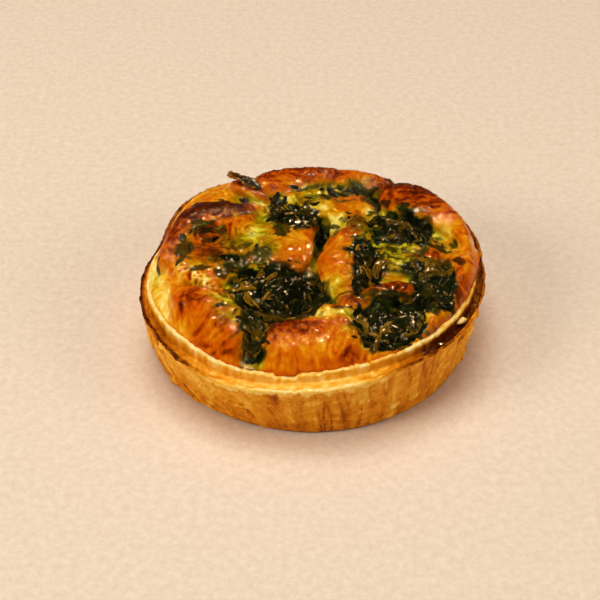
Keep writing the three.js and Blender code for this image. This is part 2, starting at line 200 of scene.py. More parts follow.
# Closes a disc: further rings of points below its rim, each (count, 3), then a flat bottom
def closeBelow(points, faces, rows):
    count = len(rows[0])
    upper = np.arange(len(points) - count, len(points))
    for row in rows:
        lower = len(points) + np.arange(count)
        nextUp, nextLow = np.roll(upper, -1), np.roll(lower, -1)
        points = np.concatenate([points, row])
        faces = np.concatenate([faces, np.stack([upper, lower, nextLow], 1),
                                np.stack([upper, nextLow, nextUp], 1)])
        upper = lower
    middle = np.full(count, len(points))
    points = np.concatenate([points, rows[-1].mean(0, keepdims=True)])
    return points, np.concatenate([faces, np.stack([middle, np.roll(upper, -1), upper], 1)])


# Gives sheets of points, (sheets, along, across, 3), a thickness and closes each all round, in quads
def closedSheets(sheet, thickness):
    normal = np.cross(np.gradient(sheet, axis=1), np.gradient(sheet, axis=2))
    normal *= thickness / 2 / (np.linalg.norm(normal, axis=3, keepdims=True) + 1e-9)
    index = np.arange(sheet[0, :, :, 0].size).reshape(sheet.shape[1:3])
    corners = index[:-1, :-1], index[1:, :-1], index[1:, 1:], index[:-1, 1:]
    a, b, c, d = [corner.ravel() for corner in corners]
    rim = np.concatenate([index[:-1, 0], index[-1, :-1], index[:0:-1, -1], index[0, :0:-1]])
    below, rimNext = index.size, np.roll(rim, -1)
    pattern = np.concatenate([np.stack(quad, 1) for quad in (
        (a, b, c, d), (below + a, below + d, below + c, below + b),
        (rimNext, rim, below + rim, below + rimNext))])
    quads = pattern[None] + (np.arange(len(sheet)) * 2 * below)[:, None, None]
    return np.stack([sheet + normal, sheet - normal], 1).reshape(-1, 3), quads.reshape(-1, 4)


# Fields are the looks that the material reads at each point; points without a value take the last one
def makePiece(name, points, faces, fields, material, replaced):
    mesh = bpy.data.meshes.new(name)
    mesh.from_pydata(((points + caseCentre) * mm).tolist(), [], faces.tolist())
    mesh.shade_smooth()
    for field, values in fields.items():
        values = np.append(values, np.full(len(points) - len(values), values[-1])).astype(np.float32)
        mesh.attributes.new(field, "FLOAT", "POINT").data.foreach_set("value", values)
    mesh.materials.append(material)
    piece = bpy.data.objects.new(name, mesh)
    bpy.context.collection.objects.link(piece)
    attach(piece, "root")
    if replaced:
        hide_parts(*replaced)
    print(name, "has", len(mesh.polygons), "faces")


# The pastry case in mm and degrees; lists run evenly round it, counter-clockwise from +X
crust = {
    "baseRadii": [51.6, 51.4, 51.4, 51.4, 51.4, 52, 53.2, 52.9, 51.5, 51.3, 51.3, 51.5],
    "rimRadii": [56.9, 57.3, 57.6, 56.8, 56, 55.5, 55.2, 55.8, 57, 57.4, 55.2, 53, 55, 57.4, 58.2, 58.4,
        58.6, 58.2, 57.6, 57.2, 56.8, 56.8, 56.8, 56.8],
    "rimHeights": [25, 26.2, 26.8, 25.6, 24, 22.9, 22.5, 23.4, 24.9, 25.6, 25.6, 24.6, 24.8, 24.3, 23.4,
        22.5, 22.2, 23, 24.2, 25.4, 26.2, 26, 25.4, 25],
    "recessDepths": [2.4, 1.8, 1.6, 1.2, 0.8, 0.8, 0.8, 0.8, 0.8, 1, 1, 0.8, 0.8, 1.4, 2.4, 2, 1.7, 1.2,
        0.9, 1, 1.8, 2.8, 3.2, 3],
    "foldInsets": [2.6, 2.6, 2.8, 3, 3, 3, 3, 3, 3, 2.8, 2.4, 2, 1.9, 2.5, 3.5, 4.4, 4.4, 4.2, 4.2, 4.2,
        4.4, 4.2, 3.8, 3.2],
    "baseCorner": 1.4, "floorThickness": 3.2, "floorRadius": 47.0, "wallFlare": 0.9,
    "edgeWidth": 1.1, "foldBack": 6.2, "foldRise": 2.2, "foldBreakAt": -99.0, "foldBreakWidth": 5.0,
    "slumpedSide": 318, "slantedSide": 223.45, "crackedSide": 280.75, "charredSide": 320, "unevenSide": 309.4,
    "crackSpacing": (4, 12), "crackWidth": 0.3, "blisters": 90, "blisterRise": 0.80,
    "pleatDepth": 0.7, "grooveDepth": 1.1, "steps": 900, "wallRows": 58, "seed": 300,
    # the patterns of the wall, the fold and the baked layers are measured out at these radii
    "wallRadius": 54, "foldRadius": 51, "layerRadius": 52,
    # how far it baked: 0 is pale, 1 is burnt
    "edgeBake": [0.76, 0.74, 0.7, 0.66, 0.62, 0.62, 0.62, 0.66, 0.72, 0.8, 0.86, 0.92, 0.96, 1, 1, 0.92,
        0.34, 0.14, 0.1, 0.2, 0.76, 0.8, 0.66, 0.72],
    "recessBake": [0.68, 0.7, 0.66, 0.6, 0.6, 0.6, 0.6, 0.6, 0.6, 0.54, 0.5, 0.44, 0.38, 0.48, 0.56, 0.42,
        0.3, 0.25, 0.22, 0.26, 0.5, 0.82, 0.8, 0.72],
    "foldBake": [0.5, 0.5, 0.46, 0.45, 0.45, 0.45, 0.45, 0.45, 0.42, 0.4, 0.34, 0.24, 0.14, 0.1, 0.08,
        0.08, 0.1, 0.12, 0.16, 0.14, 0.14, 0.1, 0.12, 0.36],
}


def foldHeight(angle):
    off = turnBetween(angle, math.radians(crust["foldBreakAt"]))
    width = math.radians(crust["foldBreakWidth"])
    slumped = 1 - 0.35 * facing(angle, crust["slumpedSide"], 0.8, 0.96)
    return crust["foldRise"] * slumped * np.maximum(smoothStep(np.abs(off), width / 3, width), 0.5)


# Shortcrust baked in a tin: dry, matt and flaky, golden with paler blisters, burnt at thin edges
def bakedShortcrustMaterial():
    material, shader, add, place = startMaterial("bakedShortcrust")
    bake, moist = [add("Attribute", {"attribute_name": name}, {}, "Fac") for name in ("bake", "moist")]
    mottle = add("TexNoise", {"Scale": 1 / (2.4 * mm), "Detail": 6.0, "Roughness": 0.68}, {"Vector": place})
    shift = add("MapRange", {"From Min": 0.3, "From Max": 0.7, "To Min": -0.10, "To Max": 0.10},
                {"Value": mottle})
    tone = add("Math", {"operation": "ADD"}, {0: bake, 1: shift})
    colour = add("ValToRGB", {"stops": [
        (0.00, "#FDEBAC"), (0.16, "#FAD064"), (0.32, "#EEAA2C"), (0.46, "#DC8812"),
        (0.60, "#B86206"), (0.78, "#662A05"), (1.00, "#1C0A04")]}, {"Fac": tone})
    rough = add("MapRange", {"To Min": 0.62, "To Max": 0.22}, {"Value": moist})
    crumb = add("TexNoise", {"Scale": 1 / (0.6 * mm), "Detail": 4.0}, {"Vector": place})
    bump = add("Bump", {"Strength": 0.7, "Distance": 0.18 * mm}, {"Height": crumb})
    setNode(shader, {
        "IOR": 1.45, "Specular IOR Level": 0.0, "Coat Weight": 0.15, "Coat Roughness": 0.10},
        {"Base Color": colour, "Roughness": rough, "Normal": bump})
    return material


# Oval swellings of the wall, 0 to 1 at each angle for one height
def blisterSwell(angle, z, blisters):
    swell = np.zeros(angle.shape)
    for where, high, halfWide, halfHigh in blisters:
        if abs(z - high) < halfHigh:
            off = turnBetween(angle, where) * crust["wallRadius"] / halfWide
            swell = np.maximum(swell, np.clip(1 - off ** 2 - ((z - high) / halfHigh) ** 2, 0, 1))
    return swell


# Rows of (radius, height, bake, moist), each all round, from the underside's middle out and up to the rim
def wallRows(angle, at, rng):
    corner, radius, still = crust["baseCorner"], crust["wallRadius"], np.zeros(angle.shape)
    ring, base, height = ringAt(radius, angle), at["baseRadii"], at["rimHeights"]
    rows = [(still + reach, still, still + 0.5, still) for reach in (0.02, 20, 40, base - corner)]
    # each blister's angle, height, half width and half height
    blisters = rng.uniform((0, 2, 0.6, 0.5), (fullTurn, 22, 3.2, 1.9), (crust["blisters"], 4))
    # the lower edge of the frayed lip and of the scorching, as depths below the rim
    lipDepth = 2.4 + 1.9 * grain(ring, 2.4, 315) + 1.2 * grain(ring, 0.9, 317)
    scorchDepth = 0.35 + np.clip(grain(ring, 2.2, 319), -0.2, 1) + 0.3 * grain(ring, 0.8, 320)
    frayed, scorched = smoothStep(at["edgeBake"], 0.75, 0.4), smoothStep(at["edgeBake"], 0.5, 0.85)
    # creases pressed in by the tin: upright, but slanting and deeper at the front left
    slant = 0.1 + 0.8 * np.exp(-(turnBetween(angle, math.radians(crust["slantedSide"])) / 0.4) ** 2)
    pleated = 0.20 + 0.85 * slant + 0.14 * np.cos(angle - math.radians(crust["unevenSide"]))

    for share in np.linspace(0, 1, crust["wallRows"]):
        z = share * (height - 0.7)
        place, sway = (*ring, z), ringAt(radius, angle + slant * z / radius)
        pleat = grain((*sway, 0.10 * z), 3.4, 303)
        groove = creases((*sway, 0.12 * z), 3.0, 305, 6)
        groove *= smoothStep(fractal((*ring, z / 2), 8, 307), -0.3, 0.3)
        drips = creases((*sway, 0.06 * z), 1.6, 306, 5)
        drips *= smoothStep(fractal((*ring, z / 2), 5, 304), -0.2, 0.4)
        crackle = creases((*ring, z * 0.6), 1.5, 308, 6)
        pits = smoothStep(grain(place, 0.9, 309), 0.55, 0.8)
        specks = smoothStep(grain(place, 1.0, 310), 0.5, 0.75)
        swell = blisterSwell(angle, z.mean(), blisters)
        lip = smoothStep(z - (height - lipDepth), -0.3, 0.3) * frayed
        scorch = smoothStep(z - (height - scorchDepth), -0.35, 0.25) * scorched

        relief = 0.35 * fractal(place, 10, 301) + 0.12 * fractal(place, 2.4, 302)
        relief += pleated * (crust["pleatDepth"] * pleat - crust["grooveDepth"] * groove) + 0.12 * drips
        relief += 0.22 * specks - 0.10 * crackle - 0.14 * pits
        relief += crust["blisterRise"] * np.sqrt(swell) + 0.35 * lip
        relief *= smoothStep(z, 0.1, 2.0)
        bake = 0.40 + 0.07 * (1 - share) ** 1.5 - 0.03 * share + 0.10 * fractal(place, 6, 311, 3)
        # painted shade and light: grooves coloured darker and pleat and drip ridges paler, most where the
        # creases slant at the front left
        bake += (1 + slant) * (0.20 * groove - 0.10 * pleat - 0.08 * drips)
        # the foot is coloured darker within 1.5 mm of the floor: partly browning against the tin, partly
        # painted shade where it meets the floor
        bake += 0.05 * crackle + 0.22 * pits - 0.16 * specks + 0.3 * smoothStep(z, 1.5, 0)
        bake += 0.10 * (swell > 0) * smoothStep(swell, 0.35, 0) - 0.10 * smoothStep(swell, 0.1, 0.6)
        bake += lip * (0.14 + 0.10 * grain(place, 0.9, 316) - bake) * 0.85
        bake += scorch * (at["edgeBake"] - 0.08 - bake) * 0.9
        rounding = corner - np.sqrt(corner ** 2 - np.clip(corner - z, 0, corner) ** 2)
        flared = base + (at["rimRadii"] - base) * share ** crust["wallFlare"]
        rows.append((flared - rounding + relief, z, bake, still))
    return rows


# Rows on from the wall's last one: the outer edge, the recess, the fold and the inside of the case
def topRows(angle, at, lastRow, rng):
    ring, still, foldRadius = ringAt(crust["wallRadius"], angle), np.zeros(angle.shape), crust["foldRadius"]
    rim, height, edgeBake, recessBake = at["rimRadii"], at["rimHeights"], at["edgeBake"], at["recessBake"]
    scorched = smoothStep(edgeBake, 0.5, 0.85)
    edgeTop = height + 0.35 * grain(ring, 6, 321) + 0.34 * grain(ring, 1.4, 323)
    edgeTop += 0.25 * grain(ring, 0.8, 324) * scorched
    recess = height - at["recessDepths"]
    foldFace, foldBack = rim - at["foldInsets"], rim - crust["foldBack"]

    # the fold has cracked across into blocks that differ a little
    crackAt = np.cumsum(rng.uniform(*crust["crackSpacing"], 70)) / foldRadius
    crackAt = crackAt[crackAt < fullTurn - 0.05]
    crackGap = np.min(np.abs(turnBetween(angle[:, None], crackAt)), 1) * foldRadius
    cracked = facing(angle, crust["crackedSide"], 0.55, 0.95)
    notch = np.exp(-(crackGap / crust["crackWidth"]) ** 2)
    notch *= np.clip(cracked * (0.6 + grain(ring, 9, 322)), 0.05, 1)
    block = np.searchsorted(crackAt, angle) % len(crackAt)
    blockHigh, blockOut, blockBake = [rng.uniform(-1, 1, len(crackAt))[block] for _ in range(3)]
    foldTop = height + foldHeight(angle) + 0.25 * fractal((*ring, 5), 1.8, 325)
    foldTop += 0.14 * blockHigh - 0.40 * notch - 0.3 * np.clip(grain(ring, 1.5, 326) - 0.25, 0, 1)
    foldTop += (0.22 + 0.25 * facing(angle, crust["unevenSide"], 0.7, 0.95)) * fractal(ring, 7, 334, 3)
    faceOut = 0.12 * blockOut - 0.3 * notch + 0.20 * fractal((*ring, 2), 2.2, 328, 3)
    topBake = at["foldBake"] + 0.05 * blockBake + 0.16 * notch
    burntFace = 0.12 + 0.5 * smoothStep(recessBake, 0.5, 0.8)
    # a thin burnt line inside the rim
    charred = facing(angle, crust["charredSide"], 0.80, 0.90) * np.clip(0.85 + grain(ring, 4, 338), 0, 1)
    innerEdge = 0.45 * edgeBake + 0.55 * recessBake
    innerEdge += charred * (0.95 - innerEdge)
    edgeBake = edgeBake + (0.22 * grain(ring, 1.6, 336) - 0.08) * (edgeBake > 0.5)

    profile = [  # (rows to reach it, radius, height, bake, moist)
        (3, lastRow[0] - 0.15, edgeTop - 0.25, edgeBake, 0),
        (3, rim - 0.6 + 0.15 * grain((*ring, 3), 1.5, 327), edgeTop, edgeBake - 0.05, 0),
        (2, rim - crust["edgeWidth"], edgeTop - 0.25, innerEdge, 0.2),
        (6, rim - crust["edgeWidth"] - 0.25, recess + 0.1, recessBake + 0.04, 0.9),
        (7, foldFace - 0.05, recess + 0.3, recessBake, 0.9),
        (4, foldFace - 0.2 + 0.6 * faceOut, recess + 0.3 + burntFace * (foldTop - recess), recessBake, 0.8),
        (5, foldFace - 0.3 + faceOut, foldTop - 0.4, topBake + 0.12, 0.1),
        (3, foldFace - 0.6 + faceOut, foldTop, topBake, 0),
        (6, foldBack, foldTop - 0.05, topBake + 0.05, 0.2),
        (3, foldBack - 0.3, height - 1, recessBake, 0.4),
        (2, crust["floorRadius"], crust["floorThickness"], 0.5, 0),
        (1, 0.02, crust["floorThickness"], 0.5, 0),
    ]
    rows = [lastRow]
    for count, *target in profile:
        start = rows[-1]
        for step in range(1, count + 1):
            rows.append([a + (b - a) * step / count + still for a, b in zip(start, target)])
    return rows[1:]


def makeCrust():
    steps = crust["steps"]
    angle = np.arange(steps) / steps * fullTurn
    at = {name: around(values, angle) for name, values in crust.items() if isinstance(values, list)}
    rng = np.random.default_rng(crust["seed"])
    rows = wallRows(angle, at, rng)
    rows += topRows(angle, at, rows[-1], rng)
    radius, height, bake, moist = [np.array([row[k] for row in rows]) for k in range(4)]
    # baked layers show as fine streaks that run round the recess and the fold
    onTop = (np.arange(len(rows)) > crust["wallRows"] + 6)[:, None] & (radius > 45)
    x, y = ringAt(crust["layerRadius"], angle[None])
    streaks = grain((x * 0.3, y * 0.3, radius - at["rimRadii"] + at["foldInsets"]), 0.7, 331)
    height = height + np.where(onTop, 0.14 * streaks + 0.18 * grain((x, y, radius), 1.1, 333), 0)
    bake = bake + np.where(onTop, 0.15 * streaks + 0.10 * grain((x, y, radius), 1.6, 335), 0)
    points = np.stack([*ringAt(radius, angle), height], 2).reshape(-1, 3)
    index = np.arange(len(points)).reshape(-1, steps)
    after = np.roll(index, -1, 1)
    faces = np.stack([index[:-1], after[:-1], after[1:], index[1:]], 2).reshape(-1, 4).tolist()
    ends = [index[0, ::-1].tolist(), index[-1].tolist()]
    looks = {"bake": np.clip(bake, 0, 1).ravel(), "moist": moist.ravel()}
    makePiece("crustCase", points, np.array(faces + ends, dtype=object), looks,
              bakedShortcrustMaterial(), ["crust"])


# A loose flake of pale pastry lying in the recess at the right, in mm and degrees
flake = {"middle": (46.8, -25.9), "halfLength": 2.1, "halfWidth": 0.95, "heading": 28.65, "thickness": 0.7,
         "underside": 24.3, "rings": 14}


def makeFlake():
    share, reach, faces = ringDisc(flake["rings"])
    turn = share * fullTurn
    out = reach * (1 + 0.18 * grain(ringAt(2, turn), 1.2, 521))
    u, v = flake["halfLength"] * out * np.cos(turn), flake["halfWidth"] * out * np.sin(turn)
    turned = alongAcross(u, v, 0, 0, -flake["heading"])
    x, y = [middle + part for middle, part in zip(flake["middle"], turned)]
    bowed = flake["underside"] + 0.25 * np.sin(1.4 * u) + 0.2 * v
    top = bowed + flake["thickness"] * np.sqrt(1 - 0.8 * reach ** 2) + 0.12 * grain((x, y), 0.9, 523)
    below = np.stack([x, y, bowed], 1)[reach == 1]
    points, faces = closeBelow(np.stack([x, y, top], 1), faces, [below])
    makePiece("pastryFlake", points, faces, {"bake": 0.08 + 0.25 * reach ** 6, "moist": 0 * reach},
              bpy.data.materials["bakedShortcrust"], [])


# The custard in mm and degrees
custard = {
    "level": 27.5, "crown": 1.5, "crownRadius": 50.5, "edgeRoll": 5.0, "frontRoll": 4.5, "frontSide": -106,
    "gentleSide": 200.54, "gap": 0.35, "sunk": 0.15, "seamRadius": 50, "innerRadius": 46,
    "laps": [3.6, 3.4, 2.6, 2.4, 1.8, 1.8, 1.8, 1.4, 0.8, 1.4, 2.4, 3, 3, 2.2, 1, 0.1, 0.1, 0.1, 0.1, 0.1,
        0.1, 0.1, 0.2, 1.6],
    "domeCrown": 0.28, "domeBlend": 1.2, "gridStep": 0.25, "gridSpan": 54.0, "rings": 168,
    "wander": 1.1, "wanderSize": 9.0, "lean": 0.55, "skinFold": 0.28, "skinCrease": 0.42, "laceHeight": 1.3,
    # the value away from all strokes, the leaf added round the heaps, and the leaf and olive tint painted
    # into the creases as shade
    "brown": 0.47, "green": 0.06, "leaf": 0.03, "fringeLeaf": 0.7, "fringeReach": 2.4, "creaseShadeLeaf": 0.22,
}
# name: (lift, width of the shoulder, outline)
custard["domes"] = {
    "left": (6, 8, [(-50, -4), (-48, 14), (-37, 24), (-18, 22), (0, 19), (4, 3), (-4, -10), (-20, -11),
        (-31, -19), (-42, -14)]),
    "leftCrest": (8.6, 8.5, [(-51, -6), (-50, 13), (-38, 26), (-24, 25.5), (-13, 21.5), (-24, 15),
        (-37, 8), (-44, -7)]),
    "back": (5.2, 7, [(-24, 38), (-13, 50), (8, 51), (13, 43), (0, 37), (-20, 31)]),
    "backLobe": (5.2, 6, [(7, 47), (18, 50), (30, 42), (25, 33), (10, 37)]),
    "rightBack": (8, 8, [(22, 26), (25, 37), (39, 37), (54, 17), (51, -2), (43, 11), (30, 17)]),
    "rightSide": (4.2, 5, [(55, 6), (55, -14), (46, -32), (43, -22), (41, -4), (48, 6)]),
    "crescent": (7.2, 9, [(13, 19), (1, -3), (4, -21), (12, -29), (18, -16), (22, 2), (19, 17)]),
    "rightMiddle": (4.5, 9, [(20, 22), (38, 13), (45, 3), (41, -10), (24, -14), (17, 0)]),
    "frontLeft": (6.5, 10, [(-47, -11), (-41, -15), (-27, -18), (-20, -32), (-21, -46), (-37, -43),
        (-44.5, -31), (-46.5, -20)]),
    "front": (6, 12, [(-16, -45), (-13, -34), (0, -30.5), (10, -28), (16, -38), (15, -47), (14, -54),
        (0, -56), (-12, -54)]),
    "flap": (5.5, 4.5, [(14, -22), (24, -15), (33, -18), (25, -26)]),
    "strip": (3.8, 3, [(6, -25), (13, -21), (20, -25), (12, -29)]),
    "paleMound": (4.4, 4, [(0, -31), (7, -25), (14, -29), (7, -34)]),
    "rightFront": (3.5, 5, [(35, -25), (44, -26), (41, -35), (33, -39), (33, -31)]),
    "backMiddle": (3.2, 7, [(-10, 37), (12, 38), (22, 30), (18, 18), (4, 19), (-7, 26)]),
    "peak": (5.5, 3.5, [(-28, 40), (-22, 39), (-14, 29), (-20, 30), (-27, 35)]),
}
# name: (depth, width of the shoulder, outline)
custard["hollows"] = {
    "centre": (4.5, 9, [(-26, -17), (-21, -29), (-8, -33), (4, -26), (3, -9), (-14, -10)]),
    "crease": (3.5, 2.5, [(2, 21), (7, 17), (3, -4), (0, -12), (0, 6)]),
    "frontRight": (1.5, 4, [(12, -34), (17, -47), (32, -41), (37, -29), (24, -29)]),
    "laceGap": (2, 1.4, [(-43, -14), (-37, -18.5), (-30, -22), (-25, -22), (-27, -19.5), (-33, -18.5),
        (-39, -15)]),
    "frontGap": (2.5, 3, [(-19, -29), (-16, -38), (-17, -49), (-24, -46), (-21, -38)]),
}
# Strokes are (x, y, half length, half width, value, turn in degrees if any), laid one over the other
# Where the oven browned it: 0 is pale set egg, 0.5 golden orange, 1 nearly burnt
custard["brownStrokes"] = [
    (-46, 5, 4, 8, 0.68), (-42, 15, 7, 7, 0.9, 45), (-34, 21, 11, 7, 1, 15), (-25, 22, 8, 6, 0.94, -8),
    (-19, 20, 4, 3, 0.7, -20), (-48, -4, 3, 7, 0.58), (-45, -9, 5, 3, 0.46), (-32, 8, 12, 6, 0.74),
    (-34, -2, 6, 5, 0.76), (-31, -6, 4, 3, 0.8), (-36, 10, 6, 4, 0.76), (-22, 8, 4, 4, 0.44),
    (-24, 14, 6, 2.5, 0.62, 10), (-16, 25, 3, 4, 0.3), (-15, 17, 3, 4, 0.2), (-4, 3, 6, 5, 0.42),
    (-5, -5, 6, 4, 0.58), (0, 10, 3, 7, 0.66), (-10, 4, 5, 4, 0.4), (-10, -8, 8, 2, 0.5, 10),
    (-37, -11, 6, 3, 0.34, -30), (-30, -15, 7, 3, 0.5, -15), (-24, -17, 4, 3, 0.34), (-40, -20, 6, 5, 0.72),
    (-35, -27, 8, 6, 0.6, -40), (-30, -37, 8, 6, 0.61, -40), (-24, -43, 5, 4, 0.61, -30),
    (-46, -20, 4, 7, 0.2, 15), (-44, -30, 4, 6, 0.32, 35), (-30, -22, 6, 3, 0.4, -10),
    (-25, -30, 5, 5, 0.44), (-22, -38, 4, 5, 0.5), (-7.5, -37, 9, 6, 0.86, 8), (6.5, -35.5, 6, 2, 0.22, -12),
    (6, -41, 7, 4, 0.48), (8, -37, 5, 3, 0.6), (-9, -46, 6, 3, 0.44), (-2, -51, 8, 1.8, 0.62),
    (4, -45, 7, 4, 0.48), (11, -48, 5, 3, 0.74, 10), (12, -40, 3, 5, 0.44), (-5, -39.5, 7.5, 4, 0.8, 12),
    (5, -31.5, 6, 2.6, 0.14), (12, -33, 3, 3, 0.3), (13, -25.5, 6, 2.2, 0.82), (23, -20, 8, 4, 0.74, 12),
    (30, -14.5, 5, 1.8, 0.04, 12), (38, 0, 4, 3, 0.62), (4, -2, 3, 10, 0.6), (9, -4, 5, 9, 0.5),
    (12, 8, 5, 5, 0.62), (14, 14, 7, 4, 0.72, 30), (9, 2, 6, 0.8, 0.3, 75), (7, -18, 4, 4, 0.2),
    (9, -23, 3, 2, 0.34), (17, -4, 3, 5, 0.42), (-17, 41, 6, 5, 0.8), (-8, 47, 10, 6, 0.88, 10),
    (3, 47, 9, 5, 0.84), (10, 45, 4, 4, 0.76), (-3, 42, 8, 4, 0.72), (-16, 35, 5, 4, 0.6),
    (-10, 37.5, 6, 3, 0.62), (19, 45, 6, 4, 0.58), (24, 40, 4, 3, 0.6), (26, 33, 5, 5, 0.95),
    (33, 35, 9, 6, 0.88, -20), (36, 27, 9, 7, 0.9, -30), (42, 28, 5, 6, 0.8, -40), (46, 20, 5, 5, 0.62),
    (50, 12, 4, 6, 0.56), (48, 4, 4, 4, 0.34), (45, 11, 5, 4, 0.26), (50, -3, 4, 6, 0.5),
    (46, -10, 5, 6, 0.62), (47, -18, 4, 5, 0.72), (40, 2, 4, 3, 0.58), (38, -31, 4, 4, 0.5),
    (35, -28, 3, 3, 0.26), (5, 33, 7, 4, 0.24), (20, 24, 5, 4, 0.14), (12, 29, 5, 3, 0.6),
    (20, 31, 6, 2, 0.64, -20), (24, 27, 5, 3, 0.68, -30), (-35, 32, 9, 5, 0.46, 30), (-27, 38, 6, 4, 0.42),
    (-20, 31, 6, 4, 0.5), (27, 3, 8, 6, 0.22), (27, -6, 5, 3, 0.18), (24, 10, 6, 4, 0.32),
    (30, 12, 5, 5, 0.32), (-17, 25, 4, 4, 0.24), (8, 18, 3, 5, 0.04), (-49.5, -12, 2.5, 6, 0.2),
    (-47.5, -21, 2.5, 6, 0.2, 18), (-43.5, -29, 2, 5, 0.28, 35), (50, 3, 2, 4, 0.36),
    (-22, 34, 5, 1.3, 0.76, -42), (-20, 31, 5, 0.9, 0.24, -42), (-25, 34, 5, 1.2, 0.6, -45),
    (-17, 31, 4, 1, 0.62, -45), (-19, 6, 3, 5, 0.1), (-13.5, 14, 2.6, 3, 0.08), (-16, 21.5, 2, 2, 0.26),
    (-23.4, -18.5, 2.2, 2.6, 0.42), (-29.4, -25, 5, 2, 0.12, -25), (-38.2, -25, 4.5, 4, 0.78),
    (39.4, -1.5, 3.2, 3, 0.66), (28.5, -15, 6, 2, 0.06, 5), (20, 17.5, 4, 3, 0.2),
    (11.5, 8, 4, 2.5, 0.8, 20), (15, 19.5, 4, 4, 0.56, 30), (9.5, 24.5, 2.2, 2.4, 0.62),
    (3, 24.5, 4.5, 4, 0.22), (-8, 30, 4, 2.4, 0.16), (21.5, 18.5, 3, 2.6, 0.08), (10, 12.5, 3, 3.6, 0),
    (-52.5, -4, 2, 7, 0.1), (-50.5, -17, 2, 7, 0.18, 18), (-45, -29.5, 1.8, 8, 0.2, 38),
    (-35, -19.5, 7, 1.2, 0.78, -32),
]
# Where spinach juice tints it olive
custard["greenStrokes"] = [
    (-20, 27, 5, 5, 0.6), (-25, 19, 5, 3, 0.45), (-17, 11, 3, 8, 0.9), (-24, 2, 6, 4, 0.9),
    (-27, -7, 11, 4, 0.7), (-15, -1, 6, 6, 0.7), (-10, 9, 5, 4, 0.5), (-20, -12, 7, 4, 0.8),
    (0, 30, 9, 5, 0.6), (5, 37, 8, 3, 0.6), (14, 36, 7, 3, 0.8), (4, 20, 3, 5, 0.4), (9, 13, 3, 4, 0.6),
    (3, 8, 2.5, 6, 0.8), (1, 0, 2, 6, 0.8), (12, 18, 5, 4, 0.5), (18, 10, 5, 5, 0.7), (26, 2, 9, 8, 1),
    (27, -8, 6, 4, 0.9), (33, -14, 5, 3, 0.9), (36, 8, 6, 5, 0.8), (30, 14, 6, 5, 0.8), (28, 18, 4, 3, 0.5),
    (-19, -38, 3.5, 9, 1), (-14, -36, 3, 5, 0.7), (-25, -27, 6, 4, 0.6), (-26, -34, 4, 3, 0.6),
    (8, -21, 4, 4, 0.5), (12, -31, 5, 2, 0.6), (14, -37, 3, 4, 0.8), (23, -24, 9, 3, 0.9),
    (37, -25, 3, 3, 0.6), (-50, -10, 1.5, 5, 0.4), (-17.5, -46, 4, 3, 1),
]
# How thickly chopped leaf lies in or just under the skin
custard["leafStrokes"] = [
    (-32, 4, 12, 7, 0.56), (-35, 9, 6, 5, 0.7), (-42, -2, 4, 6, 0.6), (-25, -3, 12, 6, 0.58),
    (-16, -2, 6, 6, 0.5), (-22, -9, 13, 4, 0.6), (-7, 18, 9, 12, 0.95), (-19, 16, 4, 9, 0.5),
    (3, 33, 11, 6, 0.55), (14, 36, 8, 4, 0.8), (12, 25, 8, 7, 0.3), (3, 9, 3, 11, 0.7), (14, 13, 4, 5, 0.6),
    (29, 15, 12, 8, 0.95, -20), (27, 1, 11, 9, 0.66), (16, -7, 4.5, 12, 0.9), (40, 6, 8, 6, 0.85),
    (40, -13, 7, 13, 1), (31, -9, 9, 3, 0.85), (30, -25, 14, 5, 0.9), (41, 0, 3, 3, 0.25),
    (26, -7, 3, 2, 0.25), (28, 5, 5, 3, 0.4), (25, -36, 13, 9, 1), (-10, -20, 16, 11, 1),
    (-19, -37, 4, 13, 0.75), (-25, -26, 7, 5, 0.65), (-27, -34, 4, 5, 0.4), (-8, -31, 10, 3, 0.8),
    (6, -21, 4, 5, 0.35), (10, -29, 7, 2, 0.35), (46, 12, 5, 6, 0.15), (24, 42, 5, 4, 0.35),
    (-22, 36, 4, 5, 0.3), (-32, 31, 7, 2.5, 0.3, -20), (0, -44, 10, 4, 0), (9, -5, 4, 10, 0.16),
    (24, -18, 7, 4, 0.1), (-10, 5, 4, 5, 0.1), (-35, 21, 10, 6, 0, 15), (-22, 20, 6, 4, 0.12),
    (33, 31, 11, 8, 0, -20), (-46, 12, 4, 6, 0), (45, 14, 4, 6, 0.12), (48, -12, 2, 8, 0.1),
    (39.3, -1.5, 3, 3, 0), (-17.5, -46, 4.5, 2.6, 0.95), (15, 33.5, 9, 2.6, 0.75, -8),
    (21, 31, 4, 2.4, 0.7, -32), (27, 5, 10, 6, 0.74), (36, 12, 5, 8, 0.7),
]
